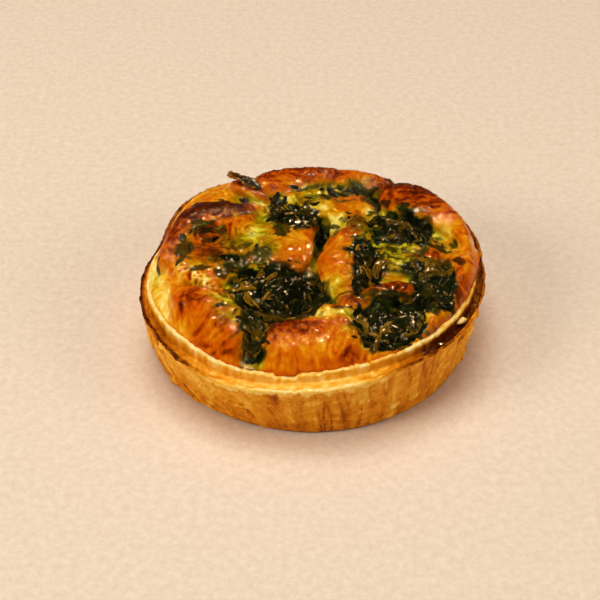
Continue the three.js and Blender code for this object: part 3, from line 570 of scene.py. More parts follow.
# Larger single leaves that show through the skin: (x, y, length, width, heading in degrees, tone)
custard["showingLeaves"] = [
    (-41, -2, 9, 6, 70, 0.3), (-42.5, -7, 4, 2, 70, 0.25), (-36.4, 11.5, 6.5, 4, 5, 0.4),
    (-35, 7.5, 6.5, 4.4, 20, 0), (-30, 8, 5.5, 4.8, 80, 0.3), (-33.7, 2, 4.6, 3, 10, 0.15),
    (-24.8, -6.7, 8, 5, 15, 0.25), (-16.1, -4.5, 8.5, 6.5, 80, 0.35), (-35.6, -10.8, 7.5, 2.6, 0, 0.1),
    (-26.8, -10.6, 5.5, 3.4, 70, 0.1), (-29.4, -12.8, 5, 3, -20, 0.12), (-26.6, -19.5, 4, 3, 30, 0),
    (-10.9, -9, 4, 3, -20, 0.15), (-20.4, 0, 3.4, 2.4, 0, 0.5), (-10, 8, 9, 6, 80, 0.1),
    (-33.5, 27.5, 6, 2.6, 15, 0.2), (-26, 28, 5, 2, -20, 0.15), (-37, 26, 6, 2.4, 20, 0.3),
    (-31, 28.5, 5, 2, 30, 0.3), (-49.3, -6, 5, 1.8, 80, 0.1), (47.6, -4.9, 4, 5.4, 0, 0.05),
    (21.1, 8.5, 5, 3.6, -30, 0.2), (24.5, 11.1, 3.6, 3.4, 0, 0.05), (42, 2.2, 10, 3, -12, 0.15),
    (35.6, -2.3, 8, 2, 62, 0.15), (42.6, -5.4, 6, 2, 35, 0.15), (46.4, 6, 4, 2, -50, 0.2),
    (22.5, -4.2, 8, 2.2, 80, 0.1), (30.7, -8.2, 8, 1.8, 70, 0.15), (27, -5, 7, 1.5, -10, 0.15),
    (12.5, -4.5, 4, 1.8, 80, 0.1), (15, 2.5, 5, 2.4, 10, 0.5), (24.5, -22.8, 13, 1.7, 14, 0.05),
    (10.5, -23.4, 9, 1.1, 6, 0.1), (12, -28.6, 13, 1.3, 4, 0.05), (30, -26, 10, 1.4, 8, 0.2),
    (1, 31, 8, 2, 0, 0.7), (5.5, 30.5, 4.2, 3.2, 20, 0), (12, 28.5, 9.5, 1.3, -3, 0.55),
    (13.5, 33.5, 4, 2.4, 20, 0.2), (20.5, 28, 10, 3, -42, 0.25), (25, 25, 5, 2, -60, 0.1),
    (-1.5, 27.5, 3.2, 3, 0, 0.2), (8, 15.5, 2.2, 3.4, 80, 0.05), (10, 19, 1.6, 1.4, 0, 0.1),
    (7.5, 6.5, 3, 4.5, 80, 0.8), (14.5, 16.5, 5.5, 1.6, 80, 0.6), (27, 39, 5, 2, -40, 0.3),
    (-20, 38, 4, 3, -20, 0.2), (-29, 31, 7, 2, -35, 0.2), (9, 13, 5, 3, 60, 0.6),
]


def insideRadius(angle):
    return around(crust["rimRadii"], angle) - crust["foldBack"] - 0.3 - custard["gap"]


# Out to the uneven seam where the custard has set onto the fold
def custardEdge(angle):
    ragged = 0.5 * fractal(ringAt(custard["seamRadius"], angle), 6, 11, 3)
    broken = 1 - foldHeight(angle) / crust["foldRise"]
    return insideRadius(angle) + 0.9 + around(custard["laps"], angle) + ragged + 0.4 * broken


def lapHeight(angle):
    return around(crust["rimHeights"], angle) + foldHeight(angle) + custard["gap"]


# From 0 up to 1 like a quarter of a circle
def roundedRise(t):
    return np.sqrt(1 - (1 - np.clip(t, 0, 1)) ** 2)


def smoothMax(a, b, reach):
    t = np.clip(0.5 + 0.5 * (a - b) / reach, 0, 1)
    return b + (a - b) * t + reach * t * (1 - t)


# The height of the smooth custard, with its domes and hollows
def custardForm(x, y):
    wx, wy = [v + custard["wander"] * fractal((x, y), custard["wanderSize"], seed)
              for v, seed in ((x, 5), (y, 12))]
    rise, crown = np.zeros(x.shape), custard["domeCrown"]
    for lift, shoulder, outline in custard["domes"].values():
        depth = insideDepth(wx, wy, outline) / shoulder
        form = (1 - crown) * roundedRise(depth) + crown * roundedRise(depth / 2.2)
        rise = smoothMax(rise, lift * form, custard["domeBlend"])
    for depthMost, shoulder, outline in custard["hollows"].values():
        rise -= depthMost * smoothStep(insideDepth(wx, wy, outline), 0, shoulder)
    return custard["level"] + custard["crown"] * (1 - (np.hypot(x, y) / custard["crownRadius"]) ** 2) + rise


def paintStrokes(x, y, ground, strokes):
    value = np.full(x.shape, float(ground))
    for middleX, middleY, halfLength, halfWidth, target, *turn in strokes:
        along, across = alongAcross(x, y, middleX, middleY, turn[0] if turn else 0)
        off = (along / halfLength) ** 2 + (across / halfWidth) ** 2
        value += (target - value) * np.exp(-0.9 * off ** 1.3)
    return value


# The value of a field on the custard's grid at any place
def sampleField(field, x, y):
    spot = [np.clip((v + custard["gridSpan"]) / custard["gridStep"], 0, len(field) - 1.001) for v in (x, y)]
    i, j = [s.astype(int) for s in spot]
    u, v = spot[0] - i, spot[1] - j
    return ((field[i, j] * (1 - u) + field[i + 1, j] * u) * (1 - v)
            + (field[i, j + 1] * (1 - u) + field[i + 1, j + 1] * u) * v)


def blurred(field, reach):
    steps = max(1, round(reach / custard["gridStep"]))
    width = 2 * steps + 1
    for axis in (0, 1, 0, 1):
        before = np.repeat(np.take(field, [0], axis), steps + 1, axis)
        behind = np.repeat(np.take(field, [-1], axis), steps, axis)
        total = np.cumsum(np.concatenate([before, field, behind], axis), axis)
        high = np.take(total, np.arange(width, total.shape[axis]), axis)
        field = (high - np.take(total, np.arange(total.shape[axis] - width), axis)) / width
    return field


# Streaks, about -1 to 1, drawn out for reach mm both ways along the flow
def combed(x, y, flow, size, reach, seed):
    spots = grain((x, y), size, seed) + grain((x, y), size * 2.3, seed + 1)
    total, step = spots.copy(), custard["gridStep"] * 1.5
    for way in (-step, step):
        px, py = x, y
        for _ in range(round(reach / step)):
            stepX, stepY = [way * sampleField(part, px, py) for part in flow]
            px, py = px + stepX, py + stepY
            total += sampleField(spots, px, py)
    return total / (2.4 * total.std())


# A leaf in the skin: 1 inside its lobed, torn outline
def leafMask(x, y, leaf, seed):
    along, across = alongAcross(x, y, leaf[0], leaf[1], leaf[4])
    inside = 1 - np.abs(along / (leaf[2] / 2)) ** 2.4 - (across / (leaf[3] / 2)) ** 2
    return smoothStep(inside + 0.35 * grain((x, y, seed), 1.1, seed), -0.05, 0.3)


# What the skin's colour depends on, each about 0 to 1
def skinLooks(x, y, fine, form, streaks, fibres, heapDepth):
    flat, inner = (x, y), smoothStep(custard["innerRadius"] - np.hypot(x, y), 0, 4)
    warped = [v + 1.8 * fractal(flat, 6, seed, 3) for v, seed in ((x, 21), (y, 31))]
    fringe = blurred((heapDepth > 0).astype(float), custard["fringeReach"])
    # painted shade: the creases between the domes get olive tint and dark leaf, partly juice and leaf
    # gathered there, partly the shade that falls in them
    creaseShade = smoothStep(blurred(form, 3) - form, 0.1, 0.7) * inner
    density = paintStrokes(*warped, custard["leaf"], custard["leafStrokes"])
    density = np.clip(density + custard["fringeLeaf"] * fringe + custard["creaseShadeLeaf"] * creaseShade, 0, 1)

    browned = paintStrokes(*warped, custard["brown"], custard["brownStrokes"])
    browned += 0.16 * fractal(flat, 5.5, 41, 3) + 0.08 * fractal(fine, 1.9, 45, 3)
    browned += 0.16 * streaks + 0.06 * np.clip(form - blurred(form, 4), -1.5, 1.5)
    browned += 0.12 * np.clip(fibres - 0.6, 0, 1) - 0.36 * np.clip(-0.9 - fibres, 0, 1)
    # where it stayed pale the egg is curdled and mottled
    curds = smoothStep(0.42 - browned, 0, 0.2) * inner
    browned += 0.32 * curds * fractal(fine, 3.0, 121)
    greened = paintStrokes(*warped, custard["green"], custard["greenStrokes"]) + 0.45 * density + 0.5 * creaseShade
    greened += (0.35 * fractal(flat, 4, 51, 3) + 0.2 * fibres) * (0.25 + greened)

    leafTone = np.clip(0.14 + 0.30 * fractal(flat, 4.5, 55), 0, 1)
    scraps = 0.75 * fractal(fine, 3.4, 57) + 0.45 * fibres
    leafy = smoothStep(scraps + 1.55 * density, 0.82, 1.10) * (0.55 + 0.45 * smoothStep(density, 0.3, 0.9))
    leafy *= 1 - 0.60 * smoothStep(browned, 0.76, 0.94)
    for order, leaf in enumerate(custard["showingLeaves"]):
        mask = leafMask(*fine, leaf, 60 + order)
        leafTone += (leaf[5] - leafTone) * mask
        leafy = np.maximum(leafy, mask * (0.86 + 0.14 * fibres))
    leafTone = np.clip(leafTone + 0.45 * np.clip(fibres, -0.5, 1.2), 0, 1)
    return {"browned": browned, "greened": np.clip(greened, 0, 1), "leafy": np.clip(leafy, 0, 1),
            "leafTone": leafTone, "density": density, "curds": curds}


# Folds that follow the slopes of the domes, fine creases, small blisters and the leaf in the skin
def skinRelief(x, y, fine, soft, slope, streaks, fibres, looks):
    flat = (x, y)
    browned, leafy, density, curds = [looks[name] for name in ("browned", "leafy", "density", "curds")]
    relief = 0.30 * fractal(flat, 8, 61)
    bands = np.sin(fullTurn * (soft / 1.2 + 0.9 * fractal(flat, 6, 71)))
    folded = smoothStep(slope, 0.25, 0.9) * smoothStep(fractal(flat, 7, 75), -0.2, 0.5)
    relief += custard["skinFold"] * folded * (1 - np.abs(bands)) ** 1.5 + 0.05 * streaks
    patches = smoothStep(fractal(flat, 8, 85), -0.25, 0.35)
    relief += custard["skinCrease"] * creases(fine, 3.4, 81) * patches
    crinkled = smoothStep(browned, 0.46, 0.66)
    relief += (0.22 + 0.16 * crinkled) * creases(fine, 2.1, 91) + 0.04 * crinkled * creases(fine, 1.2, 95)
    relief += 0.12 * np.clip(fractal(flat, 2.4, 97), 0, 1)
    browned += 0.10 * (creases(fine, 3.4, 81, 3) - 0.35) * patches
    # the dried, lacy lip of custard over the left dome's front edge
    along, across = alongAcross(x, y, -37, -14, -40.54)
    band = np.exp(-(along / 8.5) ** 4 - (across / 2.0) ** 2)
    lace = creases(flat, 2.0, 101)
    relief += band * (custard["laceHeight"] * lace + 0.5 * grain(flat, 1.1, 103))
    browned += band * (0.96 - 1.2 * lace - browned)
    relief += leafy * (0.10 + 0.14 * grain(flat, 1.6, 105) + 0.07 * fibres)
    relief += density * 0.45 * fractal(fine, 2.4, 107)
    relief += curds * (0.55 * fractal(fine, 3.0, 109) + 0.30 * creases(fine, 2.6, 110))
    # pleats below the curled leaf, and the wrinkled fronts of the two front domes
    pleated = np.exp(-((x + 21) ** 2 + (y - 33) ** 2) / 40)
    relief += 0.9 * pleated * creases((x + y, 0.25 * (x - y)), 2.6, 119)
    wrinkled = np.exp(-(((x - 1) / 14) ** 4 + ((y + 43) / 8) ** 2))
    wrinkled += np.exp(-(((x + 29) / 8) ** 2 + ((y + 34) / 8) ** 2))
    return relief + wrinkled * (creases((0.85 * fine[0], fine[1]), 2.2, 123) - 0.25)


# The custard's surface and looks, on a square grid
def custardFields():
    step = custard["gridStep"]
    axis = np.arange(-custard["gridSpan"], custard["gridSpan"] + step / 2, step)
    x, y = np.meshgrid(axis, axis, indexing="ij")
    radius, angle = np.hypot(x, y), np.arctan2(y, x)
    form = custardForm(x, y)
    soft = blurred(form, 1.5)
    slopeX, slopeY = np.gradient(soft, step)
    slope = np.hypot(slopeX, slopeY)
    fine = [v + 0.9 * fractal((x, y), 2.6, seed) for v, seed in ((x, 36), (y, 38))]
    # the skin and the leaves in it are drawn out along the contours of the domes
    upX, upY = np.gradient(blurred(form, 2.5) + 3.0 * fractal((x, y), 17, 111), step)
    steep = np.hypot(upX, upY) + 1e-6
    flow = -upY / steep, upX / steep
    streaks, fibres = combed(x, y, flow, 0.6, 1.8, 113), combed(x, y, flow, 0.5, 4.5, 117)
    heapDepth = np.max([insideDepth(x, y, outline) for _, outline in spinach["heaps"].values()], 0)
    looks = skinLooks(x, y, fine, form, streaks, fibres, heapDepth)
    relief = skinRelief(x, y, fine, soft, slope, streaks, fibres, looks)
    relief -= spinach["bed"] * smoothStep(heapDepth, 0, 2)

    # it rounds down to the case, most slowly at the front domes and beside the left fold
    edge, edgeLevel = custardEdge(angle), lapHeight(angle) - custard["gap"] - custard["sunk"]
    front = facing(angle, custard["frontSide"], 0.70, 0.92)
    inward = np.clip((edge - radius) / (custard["edgeRoll"] + custard["frontRoll"] * front), 0, 1)
    gentle = 1 + 0.6 * front + 1.1 * facing(angle, custard["gentleSide"], 0.6, 0.95)
    height = edgeLevel + (form + relief - edgeLevel) * roundedRise(inward) ** gentle
    # tops of the domes lean out over their feet
    lean = custard["lean"] * np.clip(form - blurred(form, 2.5), -1.2, 1.6) / np.maximum(slope, 0.35)
    lean *= smoothStep(slope, 0.15, 0.7) * smoothStep(inward, 0.15, 0.7) * smoothStep(heapDepth, 1.5, 0)
    burntSide = np.clip(0.7 + 1.5 * np.cos(angle - math.radians(crust["unevenSide"])), 0, 1)
    seam = (1 - smoothStep(edge - radius, 0.1, 0.9)) * burntSide
    looks["browned"] = np.clip(looks["browned"] + 0.8 * seam * (0.70 - looks["browned"]), 0, 1)
    return {**looks, "axis": axis, "height": height, "leanX": -lean * slopeX, "leanY": -lean * slopeY,
            "heapDepth": heapDepth, "fibres": fibres, "alongX": flow[0], "alongY": flow[1]}


skinFields = ("browned", "greened", "leafy", "leafTone")  # what the custard's material reads at each point


# Oven-browned egg custard: a thin glossy skin, pale yellow where set egg shows, orange to
# red-brown where it caught, olive where spinach juice ran, darker olive with leaf painted in the creases as
# shade, with leaf showing through
def bakedCustardMaterial():
    material, shader, add, place = startMaterial("bakedEggCustard")
    browned, greened, leafy, leafTone = [add("Attribute", {"attribute_name": name}, {}, "Fac")
                                         for name in skinFields]
    mottle = add("TexNoise", {"Scale": 1 / (2.2 * mm), "Detail": 4.0, "Roughness": 0.6}, {"Vector": place})
    brownMore = add("MapRange", {"From Min": 0.3, "From Max": 0.7, "To Min": -0.09, "To Max": 0.09},
                    {"Value": mottle})
    brownness = add("Math", {"operation": "ADD"}, {0: browned, 1: brownMore})
    skin = add("ValToRGB", {"stops": [
        (0.00, "#FCE994"), (0.16, "#F6CC48"), (0.34, "#EA9C16"), (0.50, "#DC7606"),
        (0.66, "#CB5604"), (0.82, "#8A2E03"), (1.00, "#401606")]}, {"Fac": brownness})
    olive = add("ValToRGB", {"stops": [
        (0.00, "#D8D02C"), (0.25, "#B4A60C"), (0.50, "#866A04"), (0.80, "#432604"),
        (1.00, "#1C1004")]}, {"Fac": brownness})
    tinted = add("Mix", {"data_type": "RGBA"}, {"Factor": greened, 6: skin, 7: olive}, 2)
    veins = add("TexNoise", {"Scale": 1 / (1.1 * mm), "Detail": 3.0, "Distortion": 1.2}, {"Vector": place})
    tone = add("Math", {"operation": "MULTIPLY_ADD", 1: 0.5}, {0: veins, 2: leafTone})
    leaf = add("ValToRGB", {"stops": [
        (0.20, "#060B04"), (0.45, "#101A09"), (0.75, "#30380C"), (1.00, "#70661A")]}, {"Fac": tone})
    cover = add("MapRange", {"From Min": 0.05, "From Max": 0.95}, {"Value": leafy})
    surface = add("Mix", {"data_type": "RGBA"}, {"Factor": cover, 6: tinted, 7: leaf}, 2)
    # the skin is drier where it caught and where a leaf shows
    caught = add("MapRange", {"From Min": 0.5, "From Max": 0.85, "To Min": 0.75, "To Max": 0.2},
                 {"Value": browned})
    gloss = add("Math", {"operation": "MULTIPLY_ADD", 1: -0.5}, {0: leafy, 2: caught})
    pores = add("TexNoise", {"Scale": 1 / (0.7 * mm), "Detail": 3.0}, {"Vector": place})
    bump = add("Bump", {"Strength": 0.12, "Distance": 0.15 * mm}, {"Height": pores})
    setNode(shader, {
        "Roughness": 0.5, "IOR": 1.45, "Specular IOR Level": 0.0, "Coat Roughness": 0.03, "Coat IOR": 1.45},
        {"Base Color": surface, "Coat Weight": gloss, "Normal": bump})
    return material


def makeCustard(fields):
    share, reach, faces = ringDisc(custard["rings"])
    angle = share * fullTurn
    x, y = ringAt(custardEdge(angle) * reach, angle)
    height, leanX, leanY = [sampleField(fields[name], x, y) for name in ("height", "leanX", "leanY")]
    rim = angle[reach == 1]
    below = [(insideRadius(rim), lapHeight(rim) - custard["gap"] - 0.6),
             (crust["floorRadius"] - custard["gap"], crust["floorThickness"] + custard["gap"])]
    rows = [np.stack([*ringAt(radii, rim), heights + 0 * rim], 1) for radii, heights in below]
    points, faces = closeBelow(np.stack([x + leanX, y + leanY, height], 1), faces, rows)
    looks = {name: sampleField(fields[name], x, y) for name in skinFields}
    makePiece("custard", points, faces, looks, bakedCustardMaterial(), ["filling"])


# The spinach in mm and radians
spinach = {
    "sheetSteps": (16, 6), "thickness": 0.32, "crumple": 0.42, "crumpleSize": 2.6, "heapRelief": 1.0,
    "bed": 0.8, "coreStep": 0.28, "flecks": 110, "fleckSpan": 48, "fleckReach": 47, "seed": 77,
    "heapLeaf": (4.5, 10.0), "heapLift": (-0.5, 0.6), "fleckLeaf": (2.2, 5.5), "fleckLift": (-0.12, 0.22),
    # what each leaf draws at random, in this order; heading is a turn away from the skin's flow
    "draws": {"length": (0.6, 1.3), "shape": (0.12, 0.62), "seed": (0, 90), "heading": (0, 0),
        "bend": (-0.16, 0.16), "rise": (-0.14, 0.14), "roll": (-0.3, 0.3), "fold": (-0.45, 0.3),
        "crumple": (0.5, 1.3), "tone": (0, 1)},
}
# node: (number of leaves, outline)
spinach["heaps"] = {
    "spinach_centre": (84, [(-23, -13), (-13, -11), (-3, -10), (2, -14), (4, -22), (0, -29), (-9, -32),
        (-18, -29), (-23, -22)]),
    "spinach_front": (18, [(-20, -33), (-17, -34), (-15.5, -39), (-16.5, -44), (-21, -44), (-21.5, -38)]),
    "spinach_front_right": (60, [(14, -31), (21, -29), (29, -31), (35, -28), (34, -33), (27, -39),
        (19, -43), (14, -41), (13, -36)]),
    "spinach_right": (48, [(35, -6), (42, -7), (44, -17), (41, -24), (36, -27), (33, -22), (33, -13)]),
    "spinach_middle": (30, [(14, 0), (19, -3), (23, -8), (20, -15), (15, -20), (13, -12)]),
    "spinach_back": (40, [(-14, 31), (-9, 30), (-6, 24), (1, 21), (3, 14), (-4, 11), (-11, 13), (-13, 22)]),
    "spinach_right_back": (30, [(22, 17), (29, 20), (34, 14), (36, 7), (30, 4), (23, 8)]),
}


# Wilted spinach, wet and oily: near black in the mass, olive where a leaf is thin, sharp glints
def wiltedSpinachMaterial():
    material, shader, add, place = startMaterial("wiltedSpinach")
    tone = add("Attribute", {"attribute_name": "leafTone"}, {}, "Fac")
    mottle = add("TexNoise", {"Scale": 1 / (1.4 * mm), "Detail": 4.0}, {"Vector": place})
    toneSum = add("Math", {"operation": "MULTIPLY_ADD", 1: 0.42}, {0: mottle, 2: tone})
    colour = add("ValToRGB", {"stops": [
        (0.18, "#040603"), (0.40, "#0D1405"), (0.60, "#232306"), (0.80, "#4C3806"),
        (1.00, "#8A640E")]}, {"Fac": toneSum})
    veins = add("TexNoise", {"Scale": 1 / (0.6 * mm), "Detail": 2.0}, {"Vector": place})
    bump = add("Bump", {"Strength": 0.6, "Distance": 0.18 * mm}, {"Height": veins})
    setNode(shader, {
        "Roughness": 0.45, "IOR": 1.42, "Specular IOR Level": 0.0, "Coat Weight": 0.26,
        "Coat Roughness": 0.06, "Coat IOR": 1.45}, {"Base Color": colour, "Normal": bump})
    return material


# Thin closed sheets, one for each leaf, laid over the custard's surface
def leafSheets(leaves, ground):
    u, v = [np.linspace(low, 1, steps + 1) for low, steps in zip((0, -1), spinach["sheetSteps"])]
    u, v = u[None, :, None], v[None, None, :]
    column = {name: np.array([leaf[name] for leaf in leaves])[:, None, None] for name in leaves[0]}
    seed, heading = column["seed"], column["heading"]
    ragged = 1 + 0.35 * grain((u * 7, seed * 3.7 + (v > 0) * 9), 1, 401)
    half = column["width"] / 2 * np.sin(math.pi * (0.04 + 0.92 * u)) ** 0.6 * ragged
    along, across = (u - 0.5) * column["length"], v * half
    heading = heading + column["bend"] * along
    x = column["x"] + along * np.cos(heading) - across * np.sin(heading)
    y = column["y"] + along * np.sin(heading) + across * np.cos(heading)
    kept = np.minimum(np.hypot(x, y), custardEdge(np.arctan2(y, x)) - 1.0) / np.maximum(np.hypot(x, y), 1e-6)
    x, y = x * kept, y * kept
    crumple = fractal((x + seed * 17, y), spinach["crumpleSize"], 411)
    z = sampleField(ground, x, y) + column["lift"] + column["rise"] * along + column["roll"] * across
    z = z + column["crumple"] * crumple + column["fold"] * np.abs(across)
    points, quads = closedSheets(np.stack([x, y, z], 3), spinach["thickness"])
    triangles = quads[:, [0, 1, 2, 0, 2, 3]].reshape(-1, 3)
    tone = column["tone"] + 0.16 * np.exp(-(v / 0.16) ** 2) + 0.18 * np.abs(v) ** 3  # paler rib and edges
    tone = tone + 0.14 * grain((v * 3, u * 1.5, seed), 1, 431)
    return points, triangles, np.repeat(tone[:, None], 2, 1).ravel()


def valuesAt(fields, names, x, y):
    return [sampleField(fields[name], np.array([x]), np.array([y]))[0] for name in names]


# One leaf that follows the flow of the skin, give or take stray radians
def randomLeaf(rng, x, y, sizes, lifts, fields, stray):
    leaf = {"x": x, "y": y, "size": rng.uniform(*sizes), "lift": rng.uniform(*lifts)}
    leaf.update({name: rng.uniform(*limits) for name, limits in spinach["draws"].items()})
    leaf["length"] *= leaf["size"]
    leaf["width"] = leaf["length"] * leaf["shape"]
    leaf["crumple"] *= spinach["crumple"]
    leaf["tone"] = leaf["tone"] ** 2.2 * 0.66 + 0.10 * (leaf["shape"] < 0.17)  # the thinnest ones are paler
    flowX, flowY = valuesAt(fields, ("alongX", "alongY"), x, y)
    leaf["heading"] += math.atan2(flowY, flowX) + rng.normal(0, stray)
    return leaf


def randomInside(rng, outline, inset):
    ring = closedCurve(outline)
    while True:
        x, y = rng.uniform(ring.min(0), ring.max(0))
        if insideDepth(np.array([x]), np.array([y]), outline)[0] > inset:
            return x, y


# The surface that the heaps' leaves lie on: the custard's, with matted lumps and strands inside each heap
def heapGround(fields):
    place = np.meshgrid(fields["axis"], fields["axis"], indexing="ij")
    lumps = 0.5 + 0.9 * fractal(place, 5.0, 421) + 0.35 * fractal(place, 2.2, 423) + 0.12 * fields["fibres"]
    lumps = spinach["bed"] + spinach["heapRelief"] * lumps
    return blurred(fields["height"], 0.5) + lumps * smoothStep(fields["heapDepth"], 0, 2)


# A closed core with matted leaves on it
def makeHeap(node, leafCount, outline, order, ground, fields, material):
    rng = np.random.default_rng(spinach["seed"] + order)
    ring = closedCurve(outline, 24)
    share, reach, faces = ringDisc(round(np.ptp(ring, axis=0).max() / 2 / spinach["coreStep"]))
    after = np.roll(ring, -1, 0)
    if np.sum(ring[:, 0] * after[:, 1] - ring[:, 1] * after[:, 0]) < 0:
        ring = ring[::-1]
    middle = (ring.min(0) + ring.max(0)) / 2
    first = (share * len(ring)).astype(int)
    t = (share * len(ring) - first)[:, None]
    edge = ring[first % len(ring)] * (1 - t) + ring[(first + 1) % len(ring)] * t
    flat = middle + (edge - middle) * reach[:, None]
    x, y = flat.T
    core = np.stack([x, y, sampleField(ground, x, y) - 0.1 - 0.5 * reach ** 4], 1)
    bottom = core[reach == 1].copy()
    bottom[:, 2] = core[:, 2].min() - 0.5
    # brown custard skin is stretched over some of the leaves
    film = smoothStep(fractal((x, y), 5.5, 431), 0.0, 0.5)
    coreTone = np.clip(0.12 + 0.34 * sampleField(fields["fibres"], x, y) + 0.75 * film, 0, 1)
    core, faces = closeBelow(core, faces, [bottom])
    leaves = []
    for _ in range(leafCount):
        place = randomInside(rng, outline, 0.6)
        leaves.append(randomLeaf(rng, *place, spinach["heapLeaf"], spinach["heapLift"], fields, 0.6))
    sheets, sheetFaces, tones = leafSheets(leaves, ground)
    tone = np.concatenate([coreTone, np.zeros(len(core) - len(coreTone)), tones])
    makePiece("heap_" + node, np.concatenate([core, sheets]), np.concatenate([faces, sheetFaces + len(core)]),
              {"leafTone": tone}, material, [node])


# Loose scraps of leaf on the skin, where leaf lies thickly in it but outside the heaps
def makeFlecks(fields, material):
    rng = np.random.default_rng(spinach["seed"] + 50)
    leaves = []
    while len(leaves) < spinach["flecks"]:
        x, y = rng.uniform(-spinach["fleckSpan"], spinach["fleckSpan"], 2)
        density, depth = valuesAt(fields, ("density", "heapDepth"), x, y)
        if math.hypot(x, y) < spinach["fleckReach"] and depth < 1 and rng.uniform(0, 1) < density ** 2.2:
            leaf = randomLeaf(rng, x, y, spinach["fleckLeaf"], spinach["fleckLift"], fields, 0.5)
            for name, share in (("rise", 0.3), ("roll", 0.4), ("fold", 0.4), ("crumple", 0.45)):
                leaf[name] *= share
            leaves.append(leaf)
    points, faces, tones = leafSheets(leaves, fields["height"])
    makePiece("spinachFlecks", points, faces, {"leafTone": tones}, material, [])


# The curled leaf at the back left
curl = {"start": (-17.5, 32.5), "middle": (-23, 36), "tip": (-28.5, 39.5), "lift": 1.2, "tipHeight": 34.8,
        "width": 4.0, "thickness": 0.8, "steps": (48, 18)}


# A leaf dried hard in the oven: dull green-black with toasted brown edges
def driedLeafMaterial():
    material, shader, add, place = startMaterial("ovenDriedLeaf")
    toasted = add("Attribute", {"attribute_name": "toasted"}, {}, "Fac")
    mottle = add("TexNoise", {"Scale": 1 / (1.5 * mm), "Detail": 4.0}, {"Vector": place})
    tone = add("Math", {"operation": "MULTIPLY_ADD", 1: 0.4}, {0: mottle, 2: toasted})
    colour = add("ValToRGB", {"stops": [
        (0.15, "#0A0E06"), (0.40, "#1A1C08"), (0.65, "#3E2A0A"), (0.85, "#7A430C"),
        (1.00, "#A8660F")]}, {"Fac": tone})
    bump = add("Bump", {"Strength": 0.6, "Distance": 0.2 * mm}, {"Height": mottle})
    setNode(shader, {
        "Roughness": 0.5, "IOR": 1.42, "Specular IOR Level": 0.0, "Coat Weight": 0.4, "Coat Roughness": 0.08},
        {"Base Color": colour, "Normal": bump})
    return material


def makeCurl(ground):
    ends = np.array([curl["start"], curl["middle"], curl["tip"]], float)
    heights = sampleField(ground, *ends.T) + curl["lift"]
    heights[2] = curl["tipHeight"]
    a, b, c = np.column_stack([ends, heights])
    u, v = [np.linspace(low, 1, steps + 1) for low, steps in zip((0, -1), curl["steps"])]
    u, v = u[:, None, None], v[None, :, None]
    spine = a * (1 - u) ** 2 + 2 * b * u * (1 - u) + c * u * u
    forward = 2 * (b - a) * (1 - u) + 2 * (c - b) * u
    forward /= np.linalg.norm(forward, axis=2, keepdims=True)
    sideways = np.stack([-forward[..., 1], forward[..., 0], 0 * forward[..., 0]], 2)
    sideways /= np.linalg.norm(sideways, axis=2, keepdims=True)
    ragged = 1 + 0.3 * grain((u * 9, v > 0), 1, 501) + 0.2 * grain((u * 24, v > 0), 1, 503)
    half = curl["width"] / 2 * np.sqrt(1 - (2 * u - 1) ** 8) * (1 - 0.3 * u) * ragged
    cup = 0.7 * v * v + 0.35 * np.sin(9 * u + 2 * v)
    cup = cup + 0.35 * grain((u * 14, v * 3), 1.5, 511) + 0.25 * grain((u * 30, v * 6), 1.5, 513)
    sheet = spine + sideways * v * half + np.cross(forward, sideways) * cup
    points, quads = closedSheets(sheet[None], curl["thickness"])
    toasted = 0.15 + 0.45 * np.abs(v) ** 3 + 0.5 * u ** 6 + 0.45 * grain((u * 12, v * 3), 1, 515)
    makePiece("leafCurl", points, quads, {"toasted": np.tile(np.clip(toasted, 0, 1).ravel(), 2)},
              driedLeafMaterial(), ["leaf_curl"])


# The camera's target is in mm, its distance and the floor in m
studio = {
    "distance": 0.495, "elevation": 39.8, "target": (-4.6, -2.9, 15.0), "lens": 90.0,
    "floorSize": 6.0, "skyColour": "#FFD6A2", "skyStrength": 0.14,
}
lamps = {
    # name: (place in m, size in m, power in W, colour, whether it is seen in the gloss alone)
    "overheadSoftbox": ((-0.10, 0.10, 1.30), 0.75, 9.8, "#FFF8EE", False),
    "leftFill": ((-1.15, -0.60, 0.85), 0.60, 11.0, "#FFF3E2", False),
    "rightFill": ((1.15, -0.42, 0.75), 0.75, 6.0, "#FFF3E2", False),
    "glintLeft": ((-0.30, -0.06, 0.55), 0.032, 5.0, "#FFD49A", True),
    "glintMiddle": ((0.02, 0.12, 0.75), 0.040, 7.5, "#FFD49A", True),
    "glintRight": ((0.30, 0.30, 0.50), 0.030, 3.0, "#FFD49A", True),
    "glintFront": ((-0.03, -0.09, 0.70), 0.034, 5.5, "#FFD49A", True),
}


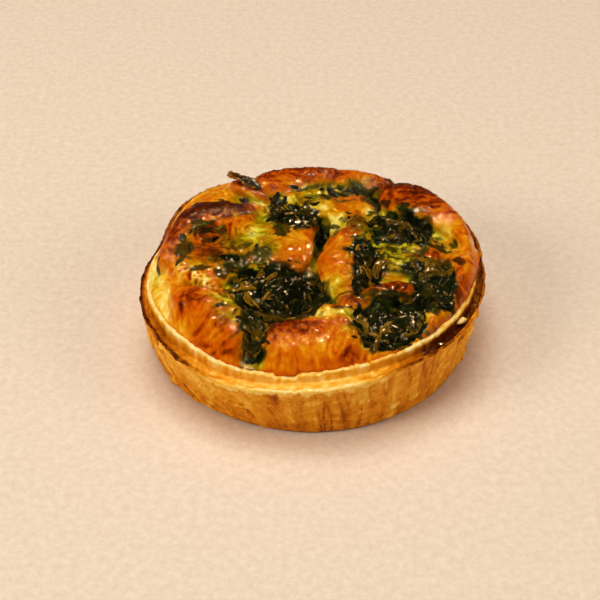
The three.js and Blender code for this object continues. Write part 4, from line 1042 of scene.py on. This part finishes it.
# Honed limestone: pale warm beige, faintly mottled, no polish
def honedStoneMaterial():
    material, shader, add, place = startMaterial("honedLimestone")
    cloud = add("TexNoise", {"Scale": 1 / (2.5 * mm), "Detail": 6.0, "Roughness": 0.7}, {"Vector": place})
    colour = add("ValToRGB", {"stops": [(0.30, "#E2D3C2"), (0.70, "#F4E8DA")]}, {"Fac": cloud})
    setNode(shader, {"Roughness": 0.75, "IOR": 1.5, "Specular IOR Level": 0.0},
            {"Base Color": colour})
    return material


def aimAt(thing, place, target):
    x, y, z = [t - p for t, p in zip(target, place)]
    thing.location = place
    thing.rotation_euler = (math.atan2(math.hypot(x, y), -z), 0, math.atan2(-x, y))


def placeInScene(name, content):
    thing = bpy.data.objects.new(name, content)
    bpy.context.collection.objects.link(thing)
    return thing


def makeStudio():
    scene = bpy.context.scene
    scene.view_settings.view_transform = "Standard"
    half = studio["floorSize"] / 2
    mesh = bpy.data.meshes.new("floor")
    corners = [(-half, -half, 0), (half, -half, 0), (half, half, 0), (-half, half, 0)]
    mesh.from_pydata(corners, [], [(0, 1, 2, 3)])
    mesh.materials.append(honedStoneMaterial())
    placeInScene("floor", mesh)
    world = bpy.data.worlds.new("studioSky")
    scene.world = world
    world.use_nodes = True
    sky = {"Color": linearColour(studio["skyColour"]), "Strength": studio["skyStrength"]}
    setNode(world.node_tree.nodes["Background"], sky, {})
    world.cycles_visibility.glossy = False  # dark surroundings, so only the lamps glint
    for name, (place, size, power, colour, glossOnly) in lamps.items():
        light = bpy.data.lights.new(name, "AREA")
        light.size = size
        light.energy = power
        light.color = linearColour(colour)[:3]
        lamp = placeInScene(name, light)
        lamp.visible_glossy = glossOnly
        lamp.visible_diffuse = not glossOnly
        aimAt(lamp, place, (0, 0, 0.02))
    camera = placeInScene("camera", bpy.data.cameras.new("camera"))
    camera.data.lens = studio["lens"]
    x, y, z = [value * mm for value in studio["target"]]
    back, lift = ringAt(studio["distance"], math.radians(studio["elevation"]))
    aimAt(camera, (x, y - back, z + lift), (x, y, z))
    scene.camera = camera
    print("studio ready")


makeStudio()
makeCrust()
makeFlake()
surface = custardFields()
print("custard surface worked out")
makeCustard(surface)
wetLeaf = wiltedSpinachMaterial()
lumpy = heapGround(surface)
for order, (node, (leafCount, outline)) in enumerate(spinach["heaps"].items()):
    makeHeap(node, leafCount, outline, order, lumpy, surface, wetLeaf)
makeFlecks(surface, wetLeaf)
makeCurl(surface["height"])

bpy.context.view_layer.update()
